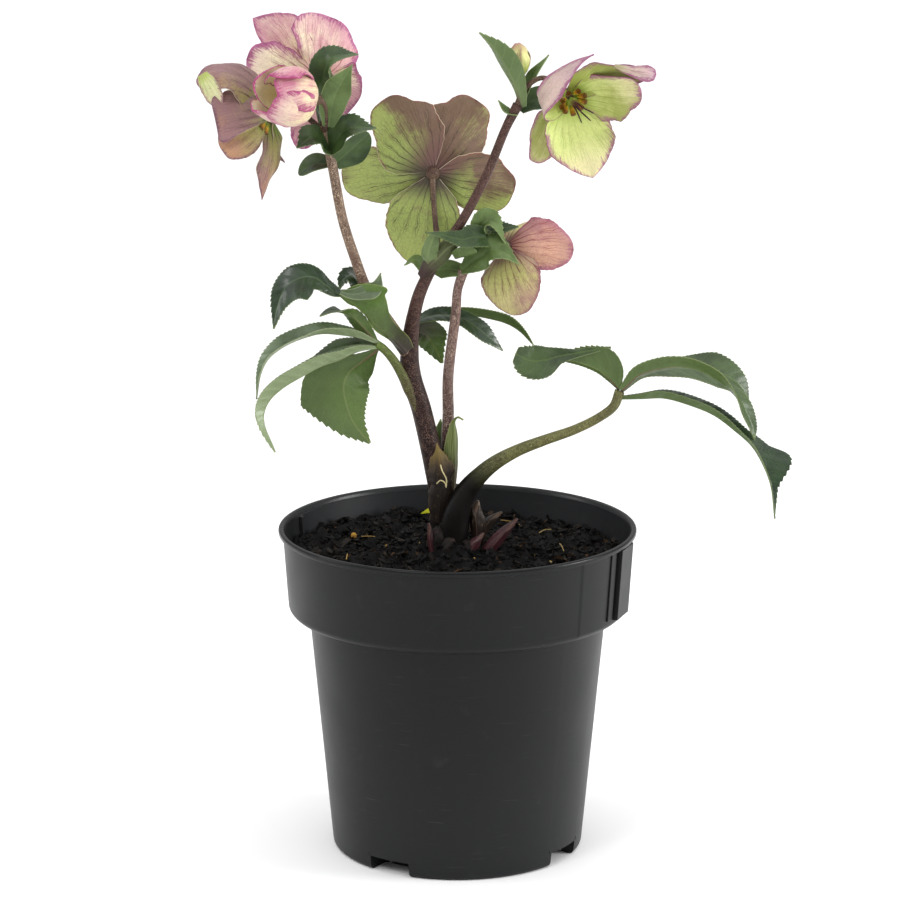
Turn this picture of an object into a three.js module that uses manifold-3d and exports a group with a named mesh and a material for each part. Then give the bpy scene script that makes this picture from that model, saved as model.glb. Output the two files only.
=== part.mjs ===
// A hybrid hellebore in a black nursery pot: three flowering stems with nodding five-sepalled
// blooms, four compound leaves with toothed leaflets, bracts, basal sheaths and new shoots, all
// rising from one crown set in potting mix.
//
// Units are millimetres. +Z is up, the origin is the middle of the pot's flat underside, and the
// plant is described as it is seen looking along +Y.
import * as THREE from "three";
import { mergeVertices } from "three/addons/utils/BufferGeometryUtils.js";
import Module from "manifold-3d";

const wasm = await Module();
wasm.setup();

// ---- driving dimensions ----

const FIT = 0.3; // clearance between one living piece and the next
const POT = {
  height: 176,
  rimRadius: 95.6, // outside of the rolled lip
  lipHeight: 3.4,
  bandTopRadius: 93.4, // deep stacking band under the lip
  bandBottomRadius: 90.4,
  bandBottom: 131,
  bodyTopRadius: 79.4, // tapered body under the band
  bodyBottomRadius: 67.3,
  wall: 1.8,
  floor: 2.6,
  segments: 32,
};
const DRAIN = { count: 4, first: -32.6, width: 24, depth: 15, height: 8, roof: 2, slot: [13, 7] };
const LABEL = { turn: 66, width: 34, top: 172, pad: 1.6, rib: [5, 4.2], groove: 6 };
const SOIL = { level: 161, bump: 1.7, sectors: 16, rings: 4 };
const LEAF_THICK = 0.9;
const SEPAL_THICK = 0.8;
const SEPAL_SHAPE = [0.2, 0.7, 0.95, 1, 1, 0.9]; // share of the full half width, heart to tip
const SEPAL_FOOT = 2.6; // how far from the middle of the heart a sepal starts
const SEPAL_WAVE = [0.8, 3]; // height of the ripple at the edge, half waves from heart to tip

// ---- vectors and curves ----

const vec = (p) => new THREE.Vector3(...p);
const unit = (p) => vec(p).normalize();
const lerpList = (list, u) => {
  const at = THREE.MathUtils.clamp(u, 0, 1) * (list.length - 1);
  const i = Math.max(0, Math.min(Math.floor(at), list.length - 2));
  return THREE.MathUtils.lerp(list[i], list[i + 1] ?? list[i], at - i);
};
const smoothList = (list, u) => {
  const curve = new THREE.CatmullRomCurve3(list.map((y, i) => new THREE.Vector3(i, y, 0)));
  return curve.getPoint(THREE.MathUtils.clamp(u, 0, 1)).y;
};
const through = (points) => new THREE.CatmullRomCurve3(points.map(vec), false, "centripetal");
const squareTo = (v, axis) => v.clone().addScaledVector(axis, -v.dot(axis)).normalize();

// ---- solids ----

// A closed manifold-3d solid from vertices and triangles.
function solid(vertices, triangles) {
  const geometry = new THREE.BufferGeometry();
  const positions = vertices.flatMap((v) => v.toArray());
  geometry.setAttribute("position", new THREE.Float32BufferAttribute(positions, 3));
  geometry.setIndex(triangles.flat());
  return solidOf(geometry);
}

// The same from a geometry, turned outside out if its triangles face inwards.
function solidOf(geometry) {
  const bare = geometry.clone();
  bare.deleteAttribute("normal");
  bare.deleteAttribute("uv");
  const merged = mergeVertices(bare, 1e-4);
  const vertProperties = new Float32Array(merged.attributes.position.array);
  const triVerts = new Uint32Array(merged.index.array);
  const made = new wasm.Manifold(new wasm.Mesh({ numProp: 3, vertProperties, triVerts }));
  if (made.volume() > 0) return made;
  return new wasm.Manifold(new wasm.Mesh({ numProp: 3, vertProperties, triVerts: triVerts.reverse() }));
}

const FLAT_TO_CORNER = Math.cos(Math.PI / 8); // how much nearer a flat of a stem is than its corners
const join = (solids) => solids.reduce((a, b) => a.add(b));

// A stem, stalk or bud: a round section that follows the points, with a diameter at each point.
function tube({ path, diameters, sides = 6, steps = 12 }, grow = 0) {
  const curve = through(path);
  const vertices = [];
  const triangles = [];
  let normal = null;
  for (let i = 0; i <= steps; i++) {
    const u = i / steps;
    const centre = curve.getPoint(u);
    const along = curve.getTangent(u);
    normal = squareTo(normal ?? new THREE.Vector3(0.3, -1, 0.2), along);
    const across = new THREE.Vector3().crossVectors(along, normal);
    if (grow && i === 0) centre.addScaledVector(along, -grow);
    if (grow && i === steps) centre.addScaledVector(along, grow);
    const radius = lerpList(diameters, u) / 2 + grow / FLAT_TO_CORNER;
    for (let k = 0; k < sides; k++) {
      const a = (2 * Math.PI * k) / sides;
      const out = normal.clone().multiplyScalar(Math.cos(a)).addScaledVector(across, Math.sin(a));
      vertices.push(centre.clone().addScaledVector(out, radius));
    }
  }
  for (let i = 0; i < steps; i++)
    for (let k = 0; k < sides; k++) {
      const [a, b] = [i * sides + k, i * sides + ((k + 1) % sides)];
      triangles.push([a, b, a + sides], [b, b + sides, a + sides]);
    }
  const last = steps * sides;
  for (let k = 1; k < sides - 1; k++) triangles.push([0, k + 1, k], [last, last + k, last + k + 1]);
  return solid(vertices, triangles);
}

const TIPS = {
  acute: (u) => (u < 0.62 ? 1 : Math.pow((1 - u) / 0.38, 0.8)),
  round: (u) => (u < 0.5 ? 1 : Math.sqrt(Math.max(0, 1 - ((u - 0.5) / 0.5) ** 2))),
};

const LEAST_HALF = 0.4; // half width of the blunt end that a tip is closed with
const TOOTH_LEAN = 0.45; // how far a tooth's point is ahead of its foot, as a share of a row

// A leaflet, bract or sepal: a thin sheet along a spine. `up` is the way its upper face looks, at
// each of several places along it. `left` and `right` are the half widths seen from above with the
// tip ahead. `fold` lifts both halves from the midrib, `curl` bends them further towards the edge,
// and `wave` ripples the edge. Teeth point forward, one for every two rows.
function blade(b, grow = 0) {
  const { path, up, left, right = left, tip = "acute", fold = 0, curl = 0, wave = [0, 0] } = b;
  const { teeth = 0, tooth = 0.9, thick = LEAF_THICK, columns = 2, dense = 1 } = b;
  const rows = b.rows ?? teeth * 2;
  const curve = through(path);
  const ups = Array.isArray(up[0]) ? up : [up];
  const top = [];
  const under = [];
  const station = (u) => {
    const along = curve.getTangent(u);
    const look = [0, 1, 2].map((k) => lerpList(ups.map((n) => n[k]), u));
    const normal = squareTo(vec(look), along);
    const side = new THREE.Vector3().crossVectors(along, normal);
    return { centre: curve.getPoint(u), along, normal, side };
  };
  for (let i = 0; i <= rows; i++) {
    const u = 1 - Math.pow(1 - i / rows, dense);
    const pointed = teeth > 0 && i % 2 === 1 && i < rows;
    for (let k = 0; k <= columns; k++) {
      const v = (2 * k) / columns - 1;
      const edge = Math.abs(v) > 0.99;
      const ahead = pointed && edge ? TOOTH_LEAN / rows : 0;
      const { centre, along, normal, side } = station(Math.min(1, u + ahead));
      if (grow && (i === 0 || i === rows)) centre.addScaledVector(along, i === 0 ? -grow : grow);
      const full = smoothList(v < 0 ? left : right, u);
      const notched = teeth > 0 && edge && !pointed && i < rows ? tooth : 0;
      const reach = Math.max(LEAST_HALF, Math.max(LEAST_HALF, full * TIPS[tip](u)) + grow - notched);
      const bend = (angle) => THREE.MathUtils.degToRad(fold + angle);
      const [middle, local] = [bend((curl * Math.abs(v)) / 2), bend(curl * Math.abs(v))];
      const out = reach * Math.abs(v);
      const phase = wave[1] * Math.PI * u + (v < 0 ? 1.3 : 0);
      const ripple = wave[0] * v * v * Math.sin(phase) * Math.sin(Math.PI * u);
      const point = centre
        .addScaledVector(side, Math.sign(v) * out * Math.cos(middle))
        .addScaledVector(normal, out * Math.sin(middle) + ripple);
      const skin = normal.clone();
      const tilt = -Math.sign(v) * Math.sin(local);
      if (v !== 0) skin.multiplyScalar(Math.cos(local)).addScaledVector(side, tilt);
      top.push(point.clone().addScaledVector(skin, thick / 2 + grow));
      under.push(point.clone().addScaledVector(skin, -thick / 2 - grow));
    }
  }
  const wide = columns + 1;
  const count = top.length;
  const triangles = [];
  for (let i = 0; i < rows; i++)
    for (let k = 0; k < columns; k++) {
      const a = i * wide + k;
      const [p, q, r, s] = [a, a + 1, a + wide, a + wide + 1];
      triangles.push([p, q, r], [q, s, r]);
      triangles.push([count + p, count + r, count + q], [count + q, count + r, count + s]);
    }
  const strip = (a, b) => triangles.push([a, b, count + b], [a, count + b, count + a]);
  for (let i = 0; i < rows; i++) {
    strip(i * wide, (i + 1) * wide);
    strip((i + 1) * wide + columns, i * wide + columns);
  }
  for (let k = 0; k < columns; k++) {
    strip(k + 1, k);
    strip(rows * wide + k, rows * wide + k + 1);
  }
  return solid([...top, ...under], triangles);
}

// A round lump with its own radius along each axis.
function lump(at, [x, y, z], grow = 0) {
  const geometry = new THREE.SphereGeometry(1, 8, 5);
  geometry.scale(x + grow, y + grow, z + grow).translate(...at);
  return solidOf(geometry);
}

// ---- blooms ----

// A point at a length from the heart, leaning out from the way the bloom faces, turned round it.
function leaning({ heart, facing }, turn, lean, length) {
  const axis = unit(facing);
  const rise = squareTo(new THREE.Vector3(0, 0, 1), axis);
  const across = new THREE.Vector3().crossVectors(rise, axis);
  const [t, l] = [turn, lean].map(THREE.MathUtils.degToRad);
  return vec(heart)
    .addScaledVector(axis, length * Math.cos(l))
    .addScaledVector(across, length * Math.sin(l) * Math.cos(t))
    .addScaledVector(rise, length * Math.sin(l) * Math.sin(t))
    .toArray();
}

// A sepal runs from the heart to its tip. It sags outwards by `sag` mm at a third and two thirds of
// its length, and its inner face looks in towards the bloom's axis unless `up` says otherwise.
function sepal(bloom, s, grow = 0) {
  const axis = unit(bloom.facing);
  const heart = vec(bloom.heart);
  const run = vec(s.tip).sub(heart);
  const along = run.clone().normalize();
  const inward = axis.clone().multiplyScalar(0.55).addScaledVector(squareTo(run, axis), -0.8);
  const inner = s.up ? vec(s.up) : inward;
  inner.applyAxisAngle(along, THREE.MathUtils.degToRad(s.roll ?? 0));
  const back = squareTo(inner, along).negate();
  const [near, far] = s.sag ?? [0, 0];
  const bend = s.bend ?? [
    heart.clone().addScaledVector(run, 0.34).addScaledVector(back, near).toArray(),
    heart.clone().addScaledVector(run, 0.7).addScaledVector(back, far).toArray(),
  ];
  const { left = SEPAL_SHAPE.map((share) => share * s.half), right = left } = s;
  const foot = heart.clone().addScaledVector(along, SEPAL_FOOT).toArray();
  const form = { path: [foot, ...bend, s.tip], up: inner.toArray(), left, right, tip: "round" };
  const sheet = { curl: s.curl, wave: SEPAL_WAVE, thick: SEPAL_THICK };
  return blade({ ...form, ...sheet, rows: s.rows ?? 5, columns: 4, dense: 1.2 }, grow);
}

const CORE = 3.6; // radius of the heart that the sepals grow from

// The front of the heart, where the nectaries and the pistil sit.
const seatOf = ({ heart, facing }, gap) => vec(heart).addScaledVector(unit(facing), CORE + gap).toArray();

const bloomSolid = (bloom) => (grow) => {
  const core = bloom.core ?? CORE;
  return join([
    lump(bloom.heart, [core, core, core], grow), ...bloom.sepals.map((s) => sepal(bloom, s, grow)),
  ]);
};

// Nectaries: a ring of short tubes round the heart's front, made as one fluted ring.
const NECTARIES = { count: 6, inner: 2.5, seat: 3.2, spread: [3.4, 6.6], height: 4.6 };
const nectarySolid = (bloom) => (grow) => {
  const base = { heart: seatOf(bloom, 0.2), facing: bloom.facing };
  const { count, inner, seat, spread, height } = NECTARIES;
  const [vertices, triangles] = [[], []];
  const sectors = count * 2;
  const ringPoint = (turn, radius, rise) => {
    const lean = THREE.MathUtils.radToDeg(Math.atan2(radius, rise));
    return vec(leaning(base, turn, lean, Math.hypot(radius, rise)));
  };
  for (let k = 0; k < sectors; k++) {
    const turn = (360 * k) / sectors;
    vertices.push(
      ringPoint(turn, inner - grow, -grow),
      ringPoint(turn, seat + grow, -grow),
      ringPoint(turn, spread[k % 2] + grow, height + grow),
      ringPoint(turn, inner - grow, height * 0.6 + grow),
    );
  }
  for (let k = 0; k < sectors; k++)
    for (let j = 0; j < 4; j++) {
      const [a, b] = [k * 4 + j, k * 4 + ((j + 1) % 4)];
      const [c, d] = [a, b].map((n) => (n + 4) % (sectors * 4));
      triangles.push([a, c, b], [b, c, d]);
    }
  return solid(vertices, triangles);
};

// Pistil: the swelling carpels with their long styles.
const STYLES = { count: 3, length: 19, lean: 9 };
const pistilSolid = (bloom) => (grow) => {
  const axis = unit(bloom.facing);
  const foot = seatOf(bloom, FIT);
  const [head, collar] = [6.5, 4].map((rise) => vec(foot).addScaledVector(axis, rise).toArray());
  const parts = [tube({ path: [foot, head], diameters: [2.6, 3.4, 2], sides: 5, steps: 2 }, grow)];
  for (let i = 0; i < STYLES.count; i++) {
    const turn = (360 * i) / STYLES.count + 30;
    const from = leaning({ heart: collar, facing: bloom.facing }, turn, 60, 0.9);
    const to = leaning({ heart: foot, facing: bloom.facing }, turn, STYLES.lean, STYLES.length);
    parts.push(tube({ path: [from, to], diameters: [1.4, 1], sides: 3, steps: 1 }, grow));
  }
  return join(parts);
};

// Sepals placed by their turn round the bloom, their lean and their length.
const around = (bloom, rows) =>
  rows.map(([turn, lean, length, rest]) => ({ tip: leaning(bloom, turn, lean, length), ...rest }));

const centre = { heart: [-13, 12, 364], facing: [0.05, 0.97, 0.2] };
centre.sepals = [
  {
    tip: [-35, 20, 402], left: [3, 14, 19, 18, 12, 9], right: [3, 13, 20, 19, 18, 14], sag: [3, 1],
    curl: 10,
  },
  {
    tip: [12, 24, 401], left: [3, 11, 16, 17, 15, 14], right: [3, 13, 19, 19, 15, 11], sag: [-1, -3],
    curl: 10,
  },
  {
    tip: [31, 23, 354], left: [3, 11, 15, 18, 18, 15], right: [3, 14, 18, 16, 14, 13], sag: [1, -1],
    curl: 12,
  },
  {
    tip: [-19, 15, 314], left: [3, 15, 21, 20, 17, 12], right: [3, 12, 18, 20, 18, 14], sag: [4, 2],
    curl: 14,
  },
  {
    tip: [-60, 25, 357], left: [3, 10, 15, 17, 15, 12], right: [3, 10, 14, 17, 17, 14], sag: [-1, -3],
    curl: 10,
  },
];

const topRight = { heart: [57, -6, 407], facing: [0.35, -0.85, -0.32] };
topRight.sepals = [
  {
    tip: [69, -16, 368], left: [4, 16, 18.5, 16, 12, 7], right: [3, 16, 18, 16, 12, 7], sag: [4, 2],
    curl: 14,
  },
  {
    tip: [93, -20, 411], left: [2, 6, 8, 10, 12, 12], right: [2, 9, 17, 15, 12, 11], sag: [3, 1],
    curl: 20,
  },
  { tip: [99, -30, 424], left: [3, 8, 12, 10, 7, 5], right: [3, 6, 8, 8, 7, 5], sag: [4, 4], curl: 30 },
  {
    tip: [68, -35, 431], left: [8, 13, 12, 10, 8, 5], right: [3, 8, 9, 8, 7, 4], sag: [5, 4], curl: 30,
  },
  { tip: [37, -9, 373], left: [2, 4, 6, 8, 9, 7], right: [2, 6, 10, 10, 8, 6], sag: [3, 1], curl: 18 },
];

const lowRight = { heart: [25, 7, 326], facing: [0.62, 0.66, -0.42] };
lowRight.sepals = [
  {
    tip: [34, -2, 291], left: [4, 14, 17, 16, 14, 10], right: [5, 15, 18, 17, 14, 10], sag: [5, 4],
    curl: 22, up: [0.3, 0.9, 0.25],
  },
  {
    tip: [61, 8, 324], left: [4, 9, 13, 15, 14, 10], right: [4, 12, 15, 14, 12, 10], sag: [4, 4],
    curl: 20, up: [-0.1, 0.95, -0.25],
  },
  ...around(lowRight, [
    [75, 44, 33, { half: 11, sag: [3, 2], curl: 18, rows: 4 }],
    [0, 42, 32, { half: 12, sag: [3, 2], curl: 18, rows: 4 }],
    [-70, 44, 30, { half: 11, sag: [3, 2], curl: 18, rows: 4 }],
  ]),
];

const topLeft = { heart: [-73, 10, 413], facing: [-0.28, 0.86, 0.42] };
topLeft.sepals = [
  {
    tip: [-100, 23, 444], left: [2, 5, 9, 15, 14, 7], right: [2, 7, 11, 13, 14, 11], sag: [0, -2],
    curl: 12,
  },
  {
    tip: [-60, 23, 446], left: [3, 13, 18, 20, 20, 12], right: [3, 9, 14, 16, 19, 16], sag: [0, -2],
    curl: 12,
  },
  {
    tip: [-51, 15, 405], left: [3, 10, 18, 21, 18, 12], right: [3, 8, 14, 17, 15, 9], sag: [1, -1],
    curl: 16,
  },
  { tip: [-84, 18, 375], left: [2, 6, 9, 9, 8, 6], right: [2, 9, 12, 10, 8, 6], sag: [2, 0], curl: 14 },
  {
    tip: [-109, 13, 424], left: [3, 14, 18, 19, 17, 14], right: [3, 6, 10, 12, 12, 10], sag: [3, 2],
    curl: 16,
  },
];

const lowLeft = { heart: [-97, -4, 396], facing: [-0.74, -0.12, -0.64] };
lowLeft.sepals = [
  {
    tip: [-134, -15, 414], bend: [[-103, -8, 411], [-116, -12, 420], [-127, -15, 420]],
    up: [0.1, 0.6, -0.75],
    left: [3, 7, 9, 9, 8, 6], right: [3, 13, 15, 14, 11, 8], curl: 22,
  },
  {
    tip: [-124, -26, 394], left: [3, 8, 11, 13, 14, 12], right: [3, 9, 12, 14, 13, 11], sag: [4, 3],
    curl: 14, up: [-0.35, 0.85, -0.3],
  },
  {
    tip: [-116, -22, 375], left: [3, 8, 11, 12, 13, 11], right: [3, 9, 12, 14, 13, 10], sag: [3, 2],
    curl: 12, up: [-0.35, 0.85, -0.2],
  },
  {
    tip: [-101, -4, 354], left: [3, 5, 6.5, 7, 6, 4], right: [3, 5, 6, 6.5, 6, 5], sag: [4, 3],
    curl: 24, up: [-0.6, 0.75, 0.1],
  },
  { tip: [-91, 12, 373], left: [3, 6, 7, 7, 6, 5], right: [3, 6, 7, 7, 6, 5], sag: [-3, -2], curl: 20 },
];

const opening = { heart: [-72, -20, 408], facing: [-0.88, -0.42, 0.05], core: 3 };
const CUPPED = { half: 11, sag: [8, 7], curl: 44, roll: 16, rows: 4 };
const cupTurns = [90, 162, 234, 306, 18];
opening.sepals = around(opening, cupTurns.map((turn, i) => [turn, 25 + (i % 2), 33 + (i % 2), CUPPED]));

const CLOSED_BUD = {
  path: [[33, -7, 416], [33, -7, 420], [32, -6.5, 426], [30, -6, 434]],
  diameters: [4, 9, 10.4, 2.4],
  sides: 8,
  steps: 6,
};

const BLOOMS = {
  centre, top_right: topRight, low_right: lowRight, top_left: topLeft, low_left: lowLeft,
};

// ---- flowering stems ----

const STEMS = {
  main: [
    {
      path: [
        [-6, 0, 158], [-8, 0, 187], [-13, 0, 212], [-19, 0, 239], [-25, 0, 260], [-25, 0, 276],
        [-23, -1, 291],
        [-19, -2, 305], [-8, -4, 326], [2, -5, 341], [15, -7, 366], [25, -9, 391], [31, -10, 403],
      ],
      diameters: [15, 12.5, 11, 10.6, 10.8, 9, 7.2, 6.6, 5.4, 5, 4.7, 4.6, 5.4],
      sides: 8,
      steps: 14,
    },
    {
      path: [[-10, -3, 323], [-12, 5, 343], [-13, 9, 357], [-13, 12, 364]],
      diameters: [3.6, 2.8, 2.8, 3.4], steps: 5,
    },
    {
      path: [[30, -10, 401], [35, -11, 412], [43, -11, 417], [51, -9, 414], [57, -6, 408]],
      diameters: [3.6, 2.8, 2.6, 2.8, 3.4], steps: 8,
    },
    { path: [[31, -10, 401], [33, -8, 409], [33, -7, 418]], diameters: [3.6, 2.8, 3], steps: 3 },
  ],
  left: [
    {
      path: [
        [-25, 0, 268], [-32, -3, 280], [-38, -5, 290], [-47, -6, 304], [-54, -7, 323], [-60, -8, 343],
        [-65, -9, 371], [-69, -9, 392],
      ],
      diameters: [8, 7.6, 6.6, 5.8, 5.4, 5.2, 5.2, 5],
      sides: 7,
      steps: 10,
    },
    {
      path: [[-69, -9, 388], [-72, -2, 399], [-73, 5, 408], [-72, 10, 414]],
      diameters: [4, 3.2, 3, 3.4], steps: 5,
    },
    {
      path: [[-69, -9, 388], [-68, -14, 398], [-69, -18, 405], [-72, -20, 408]],
      diameters: [4, 3, 2.8, 3], steps: 4,
    },
    {
      path: [[-68, -9, 385], [-76, -4, 394], [-85, -2, 399], [-93, -3, 399], [-97, -4, 396]],
      diameters: [4, 3, 2.8, 2.8, 3.4], steps: 6,
    },
  ],
  middle: [
    {
      path: [
        [-1, 6, 158], [-5, 8, 188], [-6, 7, 213], [-5, 5, 234], [-5, 3, 257], [-1, 2, 291], [0, 1, 304],
        [3, 0, 314],
      ],
      diameters: [9, 7.6, 6.6, 6.2, 5.8, 5.2, 4.8, 5.4],
      sides: 7,
      steps: 10,
    },
    {
      path: [[2, 0, 311], [9, 2, 321], [17, 5, 326], [25, 7, 326]], diameters: [4.6, 3.2, 3, 3.4],
      steps: 5,
    },
  ],
};

const stemSolid = (parts) => (grow) => join(parts.map((p) => tube(p, grow)));

// ---- leaves ----

const LEAVES = {
  left: {
    stalks: [
      {
        path: [
          [-19, -2, 234], [-25, -4, 249], [-29, -6, 259], [-34, -7, 268], [-39, -8, 274],
          [-43, -9, 277],
        ],
        diameters: [3, 5.6, 5, 4.4, 4.6], steps: 7,
      },
    ],
    leaflets: [
      {
        path: [
          [-42, -9, 276], [-48, -9, 284], [-55, -10, 292], [-62, -12, 295], [-67, -14, 295],
          [-72, -16, 293],
        ],
        up: [[-0.5, 0.7, 0.5], [-0.3, 0.8, 0.5], [0, -0.2, 1], [-0.2, -0.4, 0.9]],
        left: [1.5, 4.5, 5, 5, 5], fold: 14, teeth: 5,
      },
      {
        path: [
          [-41, -9, 277], [-51, -11, 281], [-60, -13, 283], [-71, -15, 284], [-81, -17, 282],
          [-91, -20, 278], [-99, -23, 272], [-103, -25, 264], [-105, -27, 251],
        ],
        up: [[0, 0.1, 1], [0, 0, 1], [-0.1, -0.4, 0.9], [-0.7, -0.5, 0.4], [-0.8, -0.5, 0.1]],
        left: [1.4, 6, 7, 6.5, 6.5, 6.5, 5], fold: 42, teeth: 7,
      },
      {
        path: [
          [-41, -9, 275], [-52, -12, 274], [-62, -15, 270], [-72, -18, 267], [-82, -21, 262],
          [-91, -24, 257], [-98, -27, 251], [-101, -29, 245], [-101, -31, 239], [-95, -33, 224],
        ],
        up: [[0, 0.1, 1], [-0.1, 0.2, 1], [-0.4, 0.2, 0.8], [-1, 0.1, 0.2]],
        left: [1.6, 6, 8, 8.5, 8.5, 8, 6], tip: "round", fold: 50, teeth: 7,
      },
      {
        path: [
          [-42, -9, 274], [-51, -8, 267], [-57, -8, 262], [-60, -9, 255], [-59, -11, 247],
          [-55, -13, 236], [-46, -16, 225],
        ],
        up: [[-0.2, 0.95, 0.3], [0, 1, 0.1]], left: [1, 6, 13, 22, 25, 22, 16],
        right: [1, 8, 13, 14, 15, 17, 14], fold: 8, curl: 8, teeth: 7, columns: 4,
      },
      {
        path: [[-42, -7, 276], [-54, -3, 275], [-65, 0, 272], [-79, 3, 265]], up: [[0, -0.7, 0.75]],
        left: [1.4, 5, 6, 4.5], fold: 8, teeth: 4,
      },
    ],
  },
  upper_left: {
    stalks: [],
    leaflets: [
      {
        path: [[-25, -6, 272], [-30, -9, 282], [-41, -11, 293], [-50, -12, 300], [-59, -12, 303]],
        up: [[0.5, 0.6, 0.6], [0.5, 0.6, 0.6], [0.3, 0.3, 0.9]], left: [5, 8, 9, 7, 3],
        right: [3, 5, 6, 5, 3], tip: "round", fold: 34, rows: 6,
      },
      {
        path: [
          [-55, -12, 301], [-63, -12, 303], [-68, -12, 308], [-75, -13, 313], [-82, -15, 313],
          [-89, -17, 309], [-93, -18, 301], [-96, -20, 287],
        ],
        up: [[0, -0.3, 1], [-0.1, -0.7, 0.7], [-0.4, -0.8, 0.4], [-0.6, -0.7, 0.2]],
        left: [2, 2, 4, 12, 15, 18, 10], right: [2, 2.5, 4, 7, 9.5, 11, 8],
        fold: 8, curl: 10, wave: [0.8, 4], teeth: 6, columns: 4,
      },
      {
        path: [[-54, -9, 299], [-56, -4, 306], [-58, 4, 309], [-60, 14, 306]],
        up: [[0, -0.4, 1], [-0.2, -0.1, 1]], left: [2, 5, 5.5, 4], fold: 14, curl: 14, teeth: 3,
      },
      {
        path: [[-41, -9, 291], [-41, -13, 304], [-42, -15, 316]],
        up: [[0.3, 0.9, 0.3], [0.2, 0.9, 0.2]], left: [4, 5.5, 4.5, 3], fold: 20, teeth: 3,
      },
    ],
  },
  behind: {
    stalks: [
      {
        path: [[-23, 1, 262], [-26, 8, 273], [-25, 11, 281], [-23, 11, 286]],
        diameters: [3, 5, 4.4, 4.6], steps: 4,
      },
    ],
    leaflets: [
      {
        path: [[-24, 11, 282], [-17, 13, 278], [-13, 15, 272], [-8, 18, 261]], up: [[0.2, 0.9, 0.3]],
        left: [2, 6, 8, 10, 10], right: [2, 9, 10, 8, 6], fold: 10, curl: 8, teeth: 4,
      },
      {
        path: [
          [-24, 10, 284], [-15, 10, 288], [-6, 9, 289], [2, 9, 287], [10, 9, 282], [17, 10, 276],
          [24, 12, 269],
        ],
        up: [[0, -0.6, 0.8], [0.2, -0.7, 0.7]], left: [1.6, 5, 5.5, 6, 8.5, 6], fold: 10, teeth: 6,
      },
      {
        path: [
          [-24, 13, 284], [-9, 18, 288], [4, 23, 287], [16, 28, 284], [27, 32, 280], [34, 35, 275],
          [41, 37, 267],
        ],
        up: [[0, 0.4, 0.9], [0.3, 0.6, 0.8], [0.6, 0.5, 0.5]], left: [1.6, 5, 6, 6, 6], fold: 26,
        teeth: 6,
      },
    ],
  },
  right: {
    stalks: [
      {
        path: [
          [-3, -4, 158], [-2, -5, 178], [0, -6, 187], [5, -7, 197], [12, -9, 206], [20, -10, 213],
          [32, -11, 220], [46, -13, 226], [62, -14, 232], [75, -15, 239], [82, -16, 245],
          [85, -16, 253],
        ],
        diameters: [13, 13, 12.5, 11, 9, 7.8, 6.4, 5.6, 5, 4.8, 5, 5.4],
        sides: 8,
        steps: 15,
      },
    ],
    leaflets: [
      {
        path: [
          [85, -16, 252], [77, -19, 263], [69, -22, 269], [61, -24, 273], [51, -25, 274],
          [41, -26, 271], [29, -27, 268],
        ],
        up: [[0.5, 0.8, 0.3], [0.3, 0.7, 0.6], [0, 0, 1], [0, -0.6, 0.8], [0, -0.75, 0.65]],
        left: [4, 16, 15, 9, 11, 13, 12], right: [1.5, 2, 4, 8, 10, 9, 9],
        tip: "round", fold: 16, curl: 6, teeth: 6, columns: 4,
      },
      {
        path: [
          [84, -17, 253], [95, -19, 262], [107, -22, 266], [119, -24, 267], [128, -26, 266],
          [138, -28, 261], [146, -29, 253], [151, -29, 243], [155, -29, 230],
        ],
        up: [[0, 0.6, 0.8], [0, 0.5, 0.85], [0.1, 0.3, 0.9], [0.4, -0.7, 0.6], [0.4, -0.9, 0.2]],
        left: [2, 6, 7, 5, 7, 9, 6], right: [2, 5, 7, 5, 6, 7, 5],
        fold: 22, curl: 6, teeth: 7,
      },
      {
        path: [
          [85, -14, 251], [101, -6, 262], [117, 0, 266], [131, 4, 266], [142, 6, 263], [150, 7, 257],
          [155, 8, 249], [158, 8, 242],
        ],
        up: [[0, 0.2, 1], [0.1, 0.4, 0.9], [0.7, 0.4, 0.5]], left: [2, 6, 7, 8, 7], fold: 20, teeth: 7,
      },
      {
        path: [
          [84, -15, 249], [96, -18, 250], [108, -21, 251], [121, -24, 248], [134, -27, 243],
          [145, -29, 235], [154, -31, 227], [160, -33, 217], [164, -35, 206], [166, -36, 189],
        ],
        up: [[0, 0.1, 1], [0.1, 0.1, 1], [0.5, 0, 0.8], [0.9, -0.2, 0.4], [1, -0.2, 0.2]],
        left: [2, 5, 7, 8, 7, 13, 26, 4], right: [2, 5, 6, 6, 5, 3.5, 3, 2],
        tip: "round", fold: 50, teeth: 8,
      },
    ],
  },
};

const leafSolid = (leaf) => (grow) =>
  join([...leaf.stalks.map((s) => tube(s, grow)), ...leaf.leaflets.map((l) => blade(l, grow))]);

// ---- bracts under the blooms ----

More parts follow.
